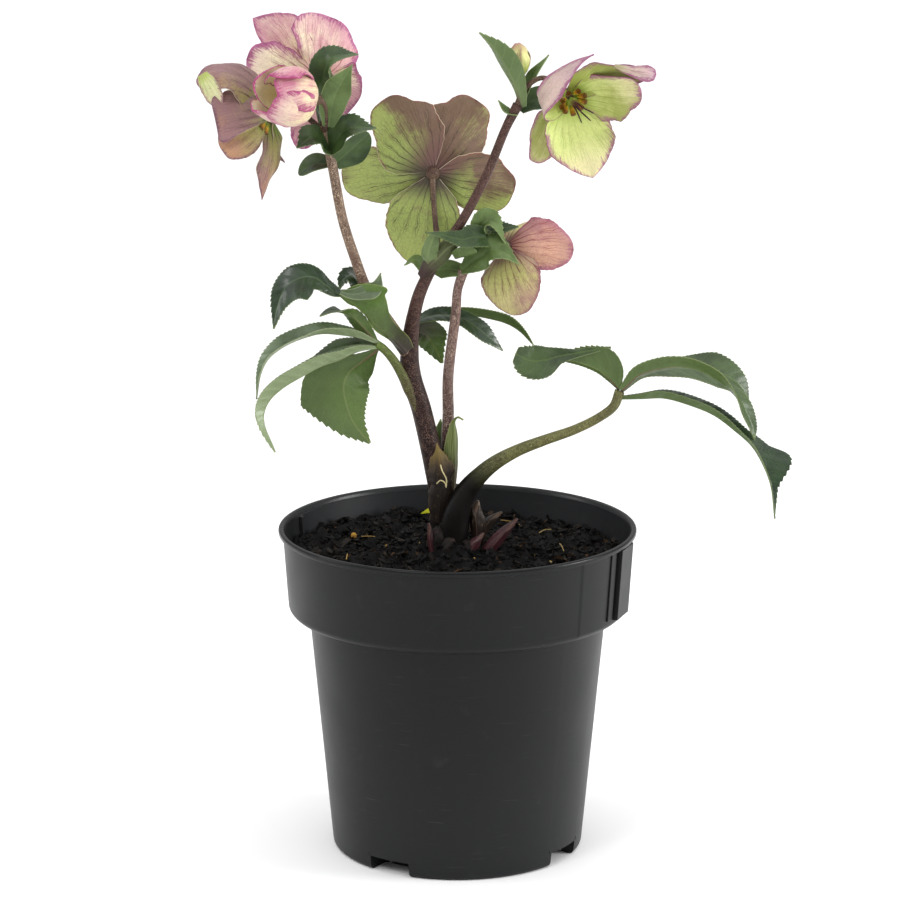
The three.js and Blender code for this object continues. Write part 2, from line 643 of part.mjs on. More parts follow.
const BRACTS = {
  top_right_tall: {
    path: [[32, -11, 404], [28, -15, 417], [21, -17, 431], [11, -16, 441]],
    up: [[0.5, 0.7, 0], [0.5, 0.6, 0.4]], left: [3, 7, 7.5, 5], fold: 30, teeth: 3, tooth: 0.5,
  },
  top_right_narrow: {
    path: [[34, -9, 405], [38, -6, 415], [47, -3, 428]], up: [[-0.6, -0.4, 0.4], [-0.5, -0.4, 0.6]],
    left: [2.4, 4.5, 4.5, 3], fold: 24, rows: 4,
  },
  top_right_low: {
    path: [[32, -7, 401], [39, 1, 402], [48, 6, 399]], up: [[0, 0.2, 1], [0.2, 0.3, 0.9]],
    left: [2.4, 5.5, 6.5, 4], fold: 20, rows: 4,
  },
  top_right_small: {
    path: [[31, -11, 398], [26, -10, 399], [21, -8, 405]], up: [-0.1, -0.4, 1], left: [1.8, 2.6, 2.4],
    fold: 26, rows: 4, columns: 2,
  },
  top_left_dark: {
    path: [[-70, -6, 392], [-70, -6, 414], [-65, -12, 427], [-51, -18, 430]],
    up: [[0.5, -0.8, 0.2], [-0.1, -0.8, 0.6], [-0.1, -0.3, 0.9]], left: [2.5, 6, 9, 9, 6], fold: 14,
    teeth: 3,
  },
  top_left_green: {
    path: [[-67, -12, 392], [-63, -18, 409], [-54, -19, 425]], up: [[0.2, -0.95, 0.2]],
    left: [3, 7, 7.5, 4], fold: 12, rows: 4,
  },
  collar_left: {
    path: [[-66, -12, 379], [-74, -17, 387], [-83, -20, 382]],
    up: [[-0.1, -0.5, 0.9], [-0.4, -0.5, 0.8]], left: [4, 8, 7.5, 4], fold: 12, teeth: 3,
  },
  collar_right: {
    path: [[-66, -12, 380], [-57, -16, 392], [-42, -18, 393]], up: [[0, -0.7, 0.7], [0.2, -0.5, 0.9]],
    left: [4, 7, 6.5, 4], fold: 16, teeth: 3,
  },
  collar_low_left: {
    path: [[-66, -6, 372], [-75, -4, 371], [-83, -2, 366]], up: [[-0.2, -0.5, 0.9]],
    left: [3, 5.5, 5.5], fold: 10, rows: 4,
  },
  collar_low_right: {
    path: [[-64, -9, 372], [-55, -9, 380], [-46, -7, 388]], up: [[0.5, -0.85, 0.1], [0.3, -0.9, -0.2]],
    left: [4, 6, 6], right: [4, 9, 8], tip: "round", fold: 6, curl: 20, rows: 4,
  },
  middle_dark: {
    path: [[6, -7, 325], [9, -11, 332], [2, -13, 335], [-17, -14, 337]],
    up: [[-0.4, -0.9, 0.3], [0, -0.75, 0.65]], left: [5, 8, 7, 5], fold: 12, teeth: 3,
  },
  middle_tall: {
    path: [[8, -3, 325], [13, -4, 340], [18, -6, 341], [25, -9, 330]],
    up: [[0.1, -0.9, 0.3], [0.9, -0.3, 0.5]], left: [3, 7, 8, 5], fold: 14, teeth: 3,
  },
  middle_far: {
    path: [[6, 3, 320], [18, 5, 334], [32, 4, 337]], up: [[0, -0.6, 0.8]], left: [3, 7, 6, 4], fold: 10,
    teeth: 3,
  },
  middle_right: {
    path: [[4, -5, 318], [19, -10, 328], [35, -13, 316]], up: [[0.1, -0.6, 0.8], [0.6, -0.5, 0.6]],
    left: [3, 8, 7, 4], fold: 16, teeth: 3,
  },
  middle_pouch: {
    path: [[3, -4, 312], [3, -11, 319], [10, -14, 327]], up: [[0.1, 0.7, 0.7], [0.1, 0.9, 0.3]],
    left: [4, 7, 8], tip: "round", fold: 8, curl: 36, rows: 4,
  },
  middle_left: {
    path: [[-16, 1, 312], [-22, 5, 319], [-28, 7, 316]], up: [[-0.2, -0.3, 0.9]], left: [2.5, 4, 4],
    fold: 14, rows: 4,
  },
  middle_wing: {
    path: [[-16, -5, 316], [-17, -7, 325], [-13, -8, 334]], up: [[0.3, 0.9, 0.2]], left: [3, 5, 5, 4],
    tip: "round", fold: 20, rows: 4,
  },
  middle_low: {
    path: [[2, 1, 314], [-6, 5, 314], [-14, 8, 312]], up: [[0, -0.7, 0.7]], left: [4, 6, 5], fold: 6,
    rows: 4,
  },
};

// ---- base of the plant ----

const SHEATHS = {
  green: {
    path: [[-3, 1, 192], [-2, 1, 208], [-2, 1, 221], [-3, 0, 237]], up: [[-0.7, 0.8, 0]],
    left: [5, 6, 5, 3], fold: 10, curl: 44, columns: 4, rows: 5,
  },
  behind: {
    path: [[-9, 13, 196], [-10, 14, 216], [-9, 15, 231]], up: [[0, -1, 0]], left: [5, 6, 4], curl: 40,
    columns: 4, rows: 4,
  },
  brown: {
    path: [[-8, -9, 182], [-10, -9, 198], [-9, -8, 210], [-10, -7, 221]], up: [[0, 1, 0.1]],
    left: [6.5, 6.5, 5, 3], fold: 6, curl: 52, columns: 4, rows: 5,
  },
};

const SHOOTS = {
  tall: {
    path: [[9, -3, 154], [11, -4, 167], [13, -4, 181], [10, -4, 192]], diameters: [5, 7, 6, 0.9],
    steps: 4,
  },
  far: {
    path: [[8, 3, 154], [13, 5, 169], [19, 7, 178], [26, 9, 183]], diameters: [4.5, 6, 5.4, 0.9],
    steps: 4,
  },
  long: {
    path: [[7, -7, 153], [16, -9, 165], [26, -9, 175], [34, -9, 184]], diameters: [5, 6, 5, 0.9],
    steps: 4,
  },
  small: { path: [[4, -10, 154], [8, -12, 166], [14, -13, 174]], diameters: [4, 4.6, 0.9], steps: 4 },
  left: {
    path: [[-10, -8, 154], [-14, -11, 168], [-15, -11, 179]], diameters: [4, 4.4, 0.9], steps: 4,
  },
};

// The crown is a knobbly rootstock, most of it under the soil.
const CROWN = { at: [-2, -1, 158], radii: [13, 12, 15] };
const crownSolid = (grow) => lump(CROWN.at, CROWN.radii, grow);

// ---- pot and potting mix ----

// A closed outline of [radius, height] points, spun about the pot's axis.
function spun(outline, segments = POT.segments) {
  const points = outline.map(([r, z]) => new THREE.Vector2(r, z));
  const geometry = new THREE.LatheGeometry(points, segments);
  return solidOf(geometry.rotateX(Math.PI / 2));
}

// Outside radius of the tapered body and of the band over it, at a height.
const taper = (z) => {
  const rise = z / (POT.bandBottom - 2);
  return THREE.MathUtils.lerp(POT.bodyBottomRadius, POT.bodyTopRadius, rise);
};
const bandRadius = (z) => {
  const rise = (z - POT.bandBottom) / (POT.height - POT.bandBottom);
  return THREE.MathUtils.lerp(POT.bandBottomRadius, POT.bandTopRadius, rise);
};

// The inside of the pot, from its floor to a height, shrunk by a clearance.
function cavityOutline(top, clear) {
  const [w, ledge] = [POT.wall + clear, POT.bandBottom + POT.wall + clear];
  return [
    [0, POT.floor + clear],
    [taper(POT.floor) - w, POT.floor + clear],
    [taper(POT.bandBottom) - w, ledge],
    [bandRadius(ledge) - w - 1, ledge],
    [bandRadius(top) - w, top],
    [0, top],
  ];
}

// A box at `turn` degrees from the front, `width` wide, between two radii and two heights.
function blockOut(turn, width, [near, far], [low, high]) {
  const geometry = new THREE.BoxGeometry(width, far - near, high - low);
  geometry.translate(0, -(near + far) / 2, (low + high) / 2).rotateZ(THREE.MathUtils.degToRad(turn));
  return solidOf(geometry);
}

// Four drain arches in the foot, each over a pocket that stands up through the pot's floor.
const OUTSIDE = 90; // a radius beyond the pot's foot
const drainTurns = Array.from({ length: DRAIN.count }, (_, i) => DRAIN.first + (360 / DRAIN.count) * i);
const drainPockets = (clear) => {
  const near = POT.bodyBottomRadius - DRAIN.depth - POT.wall - clear;
  const width = DRAIN.width + 2 * POT.wall + 2 * clear;
  const span = [-1, DRAIN.height + DRAIN.roof + clear];
  return join(drainTurns.map((turn) => blockOut(turn, width, [near, OUTSIDE], span)));
};
const drainCuts = () =>
  drainTurns.flatMap((turn) => {
    const near = POT.bodyBottomRadius - DRAIN.depth;
    const [slotWidth, slotLength] = DRAIN.slot;
    const slot = [near + 3, near + 3 + slotLength];
    return [
      blockOut(turn, DRAIN.width, [near, OUTSIDE], [-2, DRAIN.height]),
      blockOut(turn, slotWidth, slot, [-2, DRAIN.height + DRAIN.roof + 1]),
    ];
  });

// Two flat pads inside the rim, where a plant label is slipped in.
const labelTurns = [LABEL.turn, LABEL.turn + 180];
const labelPads = (clear) => {
  const chord = Math.sqrt(bandRadius(150) ** 2 - (LABEL.width / 2) ** 2) - POT.wall - LABEL.pad;
  const reach = [chord - clear, chord + LABEL.pad + 1.4];
  const span = [POT.bandBottom + 6 - clear, LABEL.top + clear];
  return join(labelTurns.map((turn) => blockOut(turn, LABEL.width + 2 * clear, reach, span)));
};

// Two upright ribs outside each pad, a thick one and a thin one with a groove between them.
const labelRibs = () => {
  const [wide, stand] = LABEL.rib;
  const ribs = [
    { across: LABEL.groove / 2 + wide / 2, width: wide, depth: stand },
    { across: -LABEL.groove / 2 - 1, width: 2, depth: 1.4 },
  ];
  const foot = POT.bandBottomRadius;
  const span = [POT.bandBottom + 1.5, POT.height - POT.lipHeight - 0.4];
  return labelTurns.flatMap((turn) =>
    ribs.map(({ across, width, depth }) => {
      const aside = THREE.MathUtils.radToDeg(across / foot);
      return blockOut(0, width, [foot - 1.6, foot + depth], span).rotate([0, 0, turn + aside]);
    }),
  );
};

function potSolid() {
  const [top, lip, step] = [POT.height, POT.height - POT.lipHeight, POT.bandBottom];
  const skin = spun([
    [0, 0],
    [taper(0) - 1.6, 0],
    [taper(1.6), 1.6],
    [taper(step - 2), step - 2],
    [POT.bandBottomRadius - 2.4, step - 0.6],
    [POT.bandBottomRadius, step + 2],
    [bandRadius(lip), lip],
    [POT.rimRadius, lip + 0.5],
    [POT.rimRadius, top - 0.9],
    [POT.rimRadius - 1, top],
    [0, top],
  ]);
  const hollow = spun(cavityOutline(top + 2, 0)).subtract(drainPockets(0));
  const shell = join([skin.subtract(hollow), ...labelRibs(), labelPads(0).intersect(skin)]);
  return shell.subtract(join(drainCuts()));
}

// The potting mix fills the pot to below its rim. Its top is lumpy, a little higher at the left.
const soilTop = (x, y) => {
  const broad = Math.sin(x * 0.19 + y * 0.11) * Math.cos(y * 0.23 - x * 0.07);
  const fine = 0.6 * Math.sin(x * 0.41 - y * 0.37 + 1);
  return SOIL.level - x * 0.018 + SOIL.bump * (broad + fine);
};

function soilSolid() {
  const inside = spun(cavityOutline(SOIL.level + 12, FIT));
  const bed = inside.subtract(drainPockets(FIT)).subtract(labelPads(FIT));
  return bed.subtract(aboveSoil());
}

// Everything over the lumpy top: two sheets of rings, the lower one shaped, closed by a wall.
function aboveSoil() {
  const { sectors, rings } = SOIL;
  const reach = POT.rimRadius + 8;
  const vertices = [];
  const triangles = [];
  for (const high of [false, true])
    for (let i = 0; i <= rings; i++)
      for (let k = 0; k < sectors; k++) {
        const r = Math.max(0.01, (reach * i) / rings);
        const a = (2 * Math.PI * (k + (i % 2) / 2)) / sectors;
        const [x, y] = [r * Math.cos(a), r * Math.sin(a)];
        const floor = i === 0 ? soilTop(0, 0) : soilTop(x, y);
        vertices.push(new THREE.Vector3(x, y, high ? SOIL.level + 40 : floor));
      }
  const at = (sheet, ring, k) => (sheet * (rings + 1) + ring) * sectors + (k % sectors);
  const quad = (a, b, c, d) => triangles.push([a, b, c], [a, c, d]);
  for (let k = 0; k < sectors; k++) {
    for (let i = 0; i < rings; i++) {
      quad(at(0, i, k), at(0, i, k + 1), at(0, i + 1, k + 1), at(0, i + 1, k));
      quad(at(1, i, k), at(1, i + 1, k), at(1, i + 1, k + 1), at(1, i, k + 1));
    }
    quad(at(0, rings, k), at(0, rings, k + 1), at(1, rings, k + 1), at(1, rings, k));
    if (k === 0 || k === sectors - 1) continue;
    triangles.push([at(0, 0, 0), at(0, 0, k + 1), at(0, 0, k)]);
    triangles.push([at(1, 0, 0), at(1, 0, k), at(1, 0, k + 1)]);
  }
  return solid(vertices, triangles);
}

// ---- the assembly ----

const look = (color, roughness = 0.6) => ({ color, roughness, metalness: 0 });
const LOOKS = {
  pot: look(0x2b2c2e, 0.5),
  soil: look(0x1a1512, 1),
  crown: look(0x3a2c24, 0.9),
  stem: look(0x6d4a45),
  leaf: look(0x4d6b3c, 0.45),
  bract: look(0x4f6f3b, 0.5),
  sheath: look(0x6f6a3a, 0.7),
  shoot: look(0x5b3a3f),
  bloom_mauve: look(0x8a6a62),
  bloom_green: look(0x9aa85a),
  bloom_pink: look(0xc98fa0),
  bloom_lime: look(0xc7cf86),
  bud: look(0xd9d7a0),
  nectary: look(0xa07a1e, 0.5),
  pistil: look(0x54302f),
};

// Each piece is cut back by the pieces before it, grown by the clearance, so that stems stand in
// sockets and nothing overlaps. Scraps that a cut leaves loose are dropped.
const pieces = [
  ...Object.entries(STEMS).map(([name, parts]) => [`flowering_stem_${name}`, stemSolid(parts), "stem"]),
  ...Object.entries(LEAVES).map(([name, leaf]) => [`leaf_${name}`, leafSolid(leaf), "leaf"]),
  ...Object.entries(SHOOTS).map(([name, shoot]) => [`shoot_${name}`, (grow) => tube(shoot, grow), "shoot"]),
  ["crown", crownSolid, "crown"],
  ["bloom_centre", bloomSolid(centre), "bloom_green"],
  ["bloom_top_right", bloomSolid(topRight), "bloom_lime"],
  ["bloom_low_right", bloomSolid(lowRight), "bloom_green"],
  ["bud_opening", bloomSolid(opening), "bloom_pink"],
  ["bloom_low_left", bloomSolid(lowLeft), "bloom_mauve"],
  ["bloom_top_left", bloomSolid(topLeft), "bloom_pink"],
  ["bud_closed", (grow) => tube(CLOSED_BUD, grow), "bud"],
  ...Object.entries(SHEATHS).map(([name, s]) => [`sheath_${name}`, (grow) => blade(s, grow), "sheath"]),
  ...Object.entries(BRACTS).map(([name, b]) => [`bract_${name}`, (grow) => blade(b, grow), "bract"]),
  ...Object.entries(BLOOMS).flatMap(([name, bloom]) => [
    [`nectaries_${name}`, nectarySolid(bloom), "nectary"],
    [`pistil_${name}`, pistilSolid(bloom), "pistil"],
  ]),
];

const meet = (a, b) => [0, 1, 2].every((k) => a.min[k] < b.max[k] && b.min[k] < a.max[k]);

function largest(made) {
  const parts = made.decompose();
  return parts.reduce((a, b) => (a.volume() > b.volume() ? a : b));
}

function meshOf(name, made, style) {
  const { vertProperties, triVerts } = made.getMesh();
  const geometry = new THREE.BufferGeometry();
  geometry.setAttribute("position", new THREE.BufferAttribute(new Float32Array(vertProperties), 3));
  geometry.setIndex(new THREE.BufferAttribute(new Uint32Array(triVerts), 1));
  geometry.computeVertexNormals();
  const mesh = new THREE.Mesh(geometry, new THREE.MeshStandardMaterial(LOOKS[style]));
  mesh.name = name;
  return mesh;
}

const plant = new THREE.Group();
const placed = [];
for (const [name, make, style] of pieces) {
  const whole = make(0);
  const box = whole.boundingBox();
  const cutters = placed.filter((other) => meet(other.box, box)).map((other) => other.grown);
  const made = largest(cutters.length ? whole.subtract(join(cutters)) : whole);
  const grown = make(FIT).add(whole);
  placed.push({ grown, box: grown.boundingBox() });
  plant.add(meshOf(name, made, style));
}
const soilHoles = placed.filter(({ box }) => box.min[2] < SOIL.level + 8).map(({ grown }) => grown);
plant.add(meshOf("soil", largest(soilSolid().subtract(join(soilHoles))), "soil"));
plant.add(meshOf("pot", potSolid(), "pot"));

export default plant;
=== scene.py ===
"""A hybrid hellebore in a black nursery pot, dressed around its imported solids.

Every sheet, stem and moulding is built again here from the same measures as the solids, with finer
faces, veins, teeth and bark, and gets its own procedural material. Lengths in the tables are
millimetres in the part's frame: +Z up, the origin under the middle of the pot.
"""

import math

import bpy
import numpy as np
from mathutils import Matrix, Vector


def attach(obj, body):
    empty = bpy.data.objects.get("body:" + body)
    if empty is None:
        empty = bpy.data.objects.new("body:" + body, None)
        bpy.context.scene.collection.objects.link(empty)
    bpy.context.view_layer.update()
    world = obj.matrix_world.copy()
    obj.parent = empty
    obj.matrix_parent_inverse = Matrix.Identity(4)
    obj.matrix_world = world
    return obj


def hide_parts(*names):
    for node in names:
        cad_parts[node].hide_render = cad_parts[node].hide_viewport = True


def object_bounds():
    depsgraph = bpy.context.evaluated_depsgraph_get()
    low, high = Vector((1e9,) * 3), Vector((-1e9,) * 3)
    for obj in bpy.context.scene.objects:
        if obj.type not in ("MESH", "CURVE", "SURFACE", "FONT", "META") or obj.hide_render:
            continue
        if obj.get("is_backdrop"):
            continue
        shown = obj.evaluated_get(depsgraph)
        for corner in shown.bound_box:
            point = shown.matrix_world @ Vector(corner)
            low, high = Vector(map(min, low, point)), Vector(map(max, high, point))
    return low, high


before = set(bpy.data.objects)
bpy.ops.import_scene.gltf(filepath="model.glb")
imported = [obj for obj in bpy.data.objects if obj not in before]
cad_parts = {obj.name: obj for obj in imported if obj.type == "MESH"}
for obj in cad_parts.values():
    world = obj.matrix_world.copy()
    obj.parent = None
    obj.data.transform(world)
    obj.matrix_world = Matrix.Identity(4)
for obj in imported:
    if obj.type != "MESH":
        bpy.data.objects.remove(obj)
cad_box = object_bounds()

MM = 0.001
SEED = 20
UP = np.array([0.0, 0.0, 1.0])


def add_object(name, data):
    made = bpy.data.objects.new(name, data)
    bpy.context.scene.collection.objects.link(made)
    return made


# ---- camera, lights and floor, in metres ----

CAMERA_AT = (-0.004, -1.795, 0.6392)
CAMERA_PITCH = 13.22  # degrees below level
CAMERA_LENS = 138.8
PLANT_MIDDLE = (0, 0, 0.25)
LAMPS = dict(  # place, size, power
    key_light=((-1.1, -1.5, 1.9), 0.8, 11),
    right_light=((1.8, -0.3, 0.6), 0.8, 24),
    left_light=((-1.8, -0.1, 0.8), 0.7, 6),
)
WALL_LIGHT, CEILING_LIGHT = 0.42, 1.5
CEILING_FROM, CEILING_WHOLE = 0.35, 0.75  # heights on a unit sphere
FLOOR_HALF = 6.0


def add_camera():
    data = bpy.data.cameras.new("camera")
    data.lens = CAMERA_LENS
    data.sensor_width = 36
    data.clip_end = 20
    camera = add_object("camera", data)
    camera.location = CAMERA_AT
    camera.rotation_euler = (math.radians(90 - CAMERA_PITCH), 0, 0)
    bpy.context.scene.camera = camera


def add_lamp(name, at, size, power):
    """A round soft lamp that points at the middle of the plant."""
    data = bpy.data.lights.new(name, "AREA")
    data.shape = "DISK"
    data.size = size
    data.energy = power
    lamp = add_object(name, data)
    lamp.location = at
    lamp.rotation_euler = (Vector(PLANT_MIDDLE) - Vector(at)).to_track_quat("-Z", "Y").to_euler()


def add_tent():
    """The world is a light tent: dim walls under a bright ceiling."""
    world = bpy.data.worlds.new("light_tent")
    world.use_nodes = True
    nodes = Nodes(world.node_tree)
    height = nodes.split(nodes.add("TexCoord").outputs["Generated"])["Z"]
    light = nodes.span(height, CEILING_FROM, CEILING_WHOLE, (WALL_LIGHT, CEILING_LIGHT))
    background = nodes.tree.nodes["Background"]
    nodes.link((1, 1, 1, 1), background.inputs["Color"])
    nodes.link(light, background.inputs["Strength"])
    bpy.context.scene.world = world


def add_studio():
    for name, (at, size, power) in LAMPS.items():
        add_lamp(name, at, size, power)
    add_tent()
    bpy.context.scene.view_settings.view_transform = "Standard"


def add_floor():
    mesh = bpy.data.meshes.new("floor")
    ends = ((-1, -1), (1, -1), (1, 1), (-1, 1))
    mesh.from_pydata([(x * FLOOR_HALF, y * FLOOR_HALF, 0) for x, y in ends], [], [(0, 1, 2, 3)])
    s = Skin("pale_floor", roughness=0.8)
    mesh.materials.append(s.wear(s.mix(s.noise(s.place(), 3, 2), "f7f7f7", "fdfdfd")))
    add_object("floor", mesh)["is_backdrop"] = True


# ---- material nodes ----


def rgb(code):
    """The linear colour of a hexadecimal screen colour."""
    share = [int(code[i : i + 2], 16) / 255 for i in (0, 2, 4)]
    linear = [c / 12.92 if c <= 0.04045 else ((c + 0.055) / 1.055) ** 2.4 for c in share]
    return (*linear, 1.0)


class Nodes:
    """The shader nodes of a tree. Most calls add a node and return the socket with its result."""

    def __init__(self, tree):
        self.tree = tree

    def link(self, value, socket):
        """Joins a result to a socket, or sets the socket to a number, a vector or a colour's code."""
        if isinstance(value, bpy.types.NodeSocket):
            self.tree.links.new(value, socket)
        else:
            socket.default_value = rgb(value) if isinstance(value, str) else value

    def add(self, kind, inputs=None, **settings):
        node = self.tree.nodes.new(f"ShaderNode{kind}")
        for name, setting in settings.items():
            setattr(node, name, setting)
        for socket, value in (inputs or {}).items():
            self.link(value, node.inputs[socket])
        return node

    def place(self):
        return self.add("TexCoord").outputs["Object"]

    def value(self, name):
        return self.add("Attribute", attribute_name=name).outputs["Fac"]

    def sum(self, operation, a, b=0.0, c=0.0):
        return self.add("Math", {0: a, 1: b, 2: c}, operation=operation).outputs[0]

    def times(self, a, b):
        return self.sum("MULTIPLY", a, b)

    def plus(self, base, value, amount):
        """The base with an amount of a value added."""
        return self.sum("MULTIPLY_ADD", value, amount, base)

    def wobble(self, base, noise, amount):
        """The base moved up and down by a noise, whose middle is 0.5."""
        return self.plus(base, self.sum("ADD", noise, -0.5), amount)

    def point(self, x, y, z):
        return self.add("CombineXYZ", {0: x, 1: y, 2: z}).outputs[0]

    def split(self, vector):
        return self.add("SeparateXYZ", {0: vector}).outputs

    def stretch(self, vector, scale):
        return self.add("Mapping", {"Vector": vector, "Scale": scale}).outputs[0]

    def noise(self, vector, scale, detail=3, roughness=0.55):
        inputs = {"Vector": vector, "Scale": scale, "Detail": detail, "Roughness": roughness}
        return self.add("TexNoise", inputs).outputs["Fac"]

    def net(self, vector, scale, *limits):
        """A net of thin lines between cells: `limits` are as in `span`, from a line outward."""
        cells = self.add("TexVoronoi", {"Vector": vector, "Scale": scale}, feature="DISTANCE_TO_EDGE")
        return self.span(cells.outputs["Distance"], *limits)

    def span(self, value, low, high, to=(0.0, 1.0)):
        """A smooth step: `to[0]` below `low`, `to[1]` above `high`."""
        inputs = {"Value": value, "From Min": low, "From Max": high, "To Min": to[0], "To Max": to[1]}
        return self.add("MapRange", inputs, interpolation_type="SMOOTHSTEP").outputs["Result"]

    def mix(self, share, a, b):
        return self.add("Mix", {"Factor": share, "A": a, "B": b}, data_type="RGBA").outputs["Result"]

    def coats(self, colour, *over):
        """A colour with others laid over it: (share, colour), ..."""
        for share, coat in over:
            colour = self.mix(share, colour, coat)
        return colour

    def ramp(self, share, *stops):
        """Colours at places along a value: (place, colour), ..."""
        pairs = zip(stops, stops[1:])
        return self.coats(stops[0][1], *((self.span(share, a[0], b[0]), b[1]) for a, b in pairs))


class Skin(Nodes):
    """A procedural material."""

    def __init__(self, name, roughness=0.5, specular=0.25, **sockets):
        self.material = bpy.data.materials.new(name)
        self.material.use_nodes = True
        super().__init__(self.material.node_tree)
        self.shader = self.tree.nodes["Principled BSDF"]
        sockets.update(Roughness=roughness, Specular_IOR_Level=specular)
        for socket, value in sockets.items():
            self.shader.inputs[socket.replace("_", " ")].default_value = value

    def wear(self, colour, roughness=None, height=None, depth=0.1, distance=0.0005):
        """Puts a colour, a roughness and a bump on the shader."""
        self.link(colour, self.shader.inputs["Base Color"])
        if roughness is not None:
            self.link(roughness, self.shader.inputs["Roughness"])
        if height is not None:
            bump = self.add("Bump", {"Strength": depth, "Distance": distance, "Height": height})
            self.link(bump.outputs["Normal"], self.shader.inputs["Normal"])
        return self.material


# ---- curves ----


def unit(v):
    v = np.asarray(v, float)
    return v / np.maximum(np.linalg.norm(v, axis=-1, keepdims=True), 1e-9)


def square_to(v, axis):
    """The direction of `v` with its share along a unit axis taken out."""
    return unit(v - (v * axis).sum(-1, keepdims=True) * axis)


def turned(v, axis, degrees):
    """A vector turned about a unit axis."""
    a = math.radians(degrees)
    return v * math.cos(a) + np.cross(axis, v) * math.sin(a) + axis * (axis @ v) * (1 - math.cos(a))


def curve_at(points, t):
    """Points on the centripetal Catmull-Rom curve through the given ones, for t from 0 to 1."""
    p = np.asarray(points, float)
    ends = np.vstack([2 * p[0] - p[1], p, 2 * p[-1] - p[-2]])
    s = np.clip(t, 0, 1) * (len(p) - 1)
    i = np.minimum(s.astype(int), len(p) - 2)
    w = (s - i)[..., None]
    a, b, c, d = ends[i], ends[i + 1], ends[i + 2], ends[i + 3]

    def gap(x, y):
        return np.maximum(((y - x) ** 2).sum(-1) ** 0.25, 1e-4)[..., None]

    before, here, after = gap(a, b), gap(b, c), gap(c, d)
    start = ((b - a) / before - (c - a) / (before + here) + (c - b) / here) * here
    end = ((c - b) / here - (d - b) / (here + after) + (d - c) / after) * here
    square, cube = w**2, w**3
    return b + start * w + (3 * c - 3 * b - 2 * start - end) * square + (2 * b - 2 * c + start + end) * cube


def tangent_at(points, t):
    small = 1e-4
    ahead, behind = np.clip(t + small, 0, 1), np.clip(t - small, 0, 1)
    return unit(curve_at(points, ahead) - curve_at(points, behind))


def smooth_list(values, t):
    points = np.column_stack([np.arange(len(values)), values, np.zeros(len(values))])
    return curve_at(points, t)[..., 1]


def straight_list(values, t):
    return np.interp(t, np.linspace(0, 1, len(values)), values)


def length_of(points):
    line = curve_at(points, np.linspace(0, 1, 60))
    return np.linalg.norm(np.diff(line, axis=0), axis=1).sum()


def eased(x, low, high):
    t = np.clip((x - low) / (high - low), 0, 1)
    return t * t * (3 - 2 * t)


def ring_angles(sides):
    return np.linspace(0, 2 * np.pi, sides, endpoint=False)


# ---- forms: points in millimetres, faces, and values at each point for the materials ----


class Form:
    def __init__(self, points, faces, skin=0, **values):
        self.points = np.asarray(points, float).reshape(-1, 3)
        self.faces = [np.asarray(f, int) for f in faces]
        self.skin = skin
        self.values = {name: np.broadcast_to(v, len(self.points)) for name, v in values.items()}


def grid(rows, columns, base=0, flip=False, closed=False):
    """The four-sided faces of a grid whose points run row by row. A closed grid joins its sides."""
    wide = columns if closed else columns + 1
    i, k = np.meshgrid(np.arange(rows), np.arange(columns), indexing="ij")
    after = (k + 1) % wide
    quads = np.stack([i * wide + k, i * wide + after, (i + 1) * wide + after, (i + 1) * wide + k], -1)
    quads = quads.reshape(-1, 4) + base
    return quads[:, ::-1] if flip else quads


def lidded(rows, sides, flip=False):
    """The faces of a closed grid, and a lid on each of its ends."""
    lids = np.arange(sides)[::-1][None], (rows * sides + np.arange(sides))[None]
    return [grid(rows, sides, flip=flip, closed=True), *(lid[:, ::-1] if flip else lid for lid in lids)]


def mesh_of(name, forms, skins):
    """One mesh in metres from forms, each with the skin of its number."""
    mesh = bpy.data.meshes.new(name)
    points = np.vstack([f.points for f in forms]) * MM
    starts = np.cumsum([0] + [len(f.points) for f in forms])
    faces, skin_of = [], []
    for form, start in zip(forms, starts):
        for block in form.faces:
            faces += (block + start).tolist()
            skin_of += [form.skin] * len(block)
    mesh.from_pydata(points.tolist(), [], faces)
    for value in sorted({v for f in forms for v in f.values}):
        data = [f.values.get(value, np.zeros(len(f.points))) for f in forms]
        mesh.attributes.new(value, "FLOAT", "POINT").data.foreach_set("value", np.concatenate(data))
    for skin in skins:
        mesh.materials.append(skin)
    mesh.polygons.foreach_set("material_index", skin_of)
    return mesh


def add_mesh(mesh, node):
    """A mesh becomes a piece: it stands for its CAD node and rides with the part."""
    piece = add_object(mesh.name, mesh)
    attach(piece, "root")
    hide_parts(node)
    return piece


def add_piece(name, forms, skins, node, crease=50):
    mesh = mesh_of(name, forms, skins)
    mesh.shade_smooth()
    mesh.set_sharp_from_angle(angle=math.radians(crease))
    return add_mesh(mesh, node)


def swept(path, t, radius, sides=16, skin=0, tone=0.5):
    """Rings around a curve at the places `t` along it, closed at both ends.

    `radius` has a number for each ring, or one for each point of each ring.
    """
    t, radius = np.asarray(t, float), np.asarray(radius, float)
    centre, along = curve_at(path, t), tangent_at(path, t)
    normal = np.zeros_like(centre)
    last = np.array([0.3, -1, 0.2])
    for i in range(len(t)):
        last = square_to(last, along[i])
        normal[i] = last
    across = np.cross(along, normal)
    angle = ring_angles(sides)
    out = normal[:, None] * np.cos(angle)[:, None] + across[:, None] * np.sin(angle)[:, None]
    points = centre[:, None] + out * radius.reshape(len(t), -1, 1)
    return Form(points, lidded(len(t) - 1, sides), skin, along=np.repeat(t, sides), tone=tone)


def tube(path, diameters, sides=24, step=1.4, ribs=0.0, **rest):
    """A stem or stalk along a curve, with five soft ribs that wind a little."""
    rows = max(4, int(length_of(path) / step))
    t = np.linspace(0, 1, rows + 1)
    swell = 1 + ribs * np.sin(5 * ring_angles(sides) + 2 * t[:, None])
    return swept(path, t, straight_list(diameters, t)[:, None] / 2 * swell, sides, **rest)


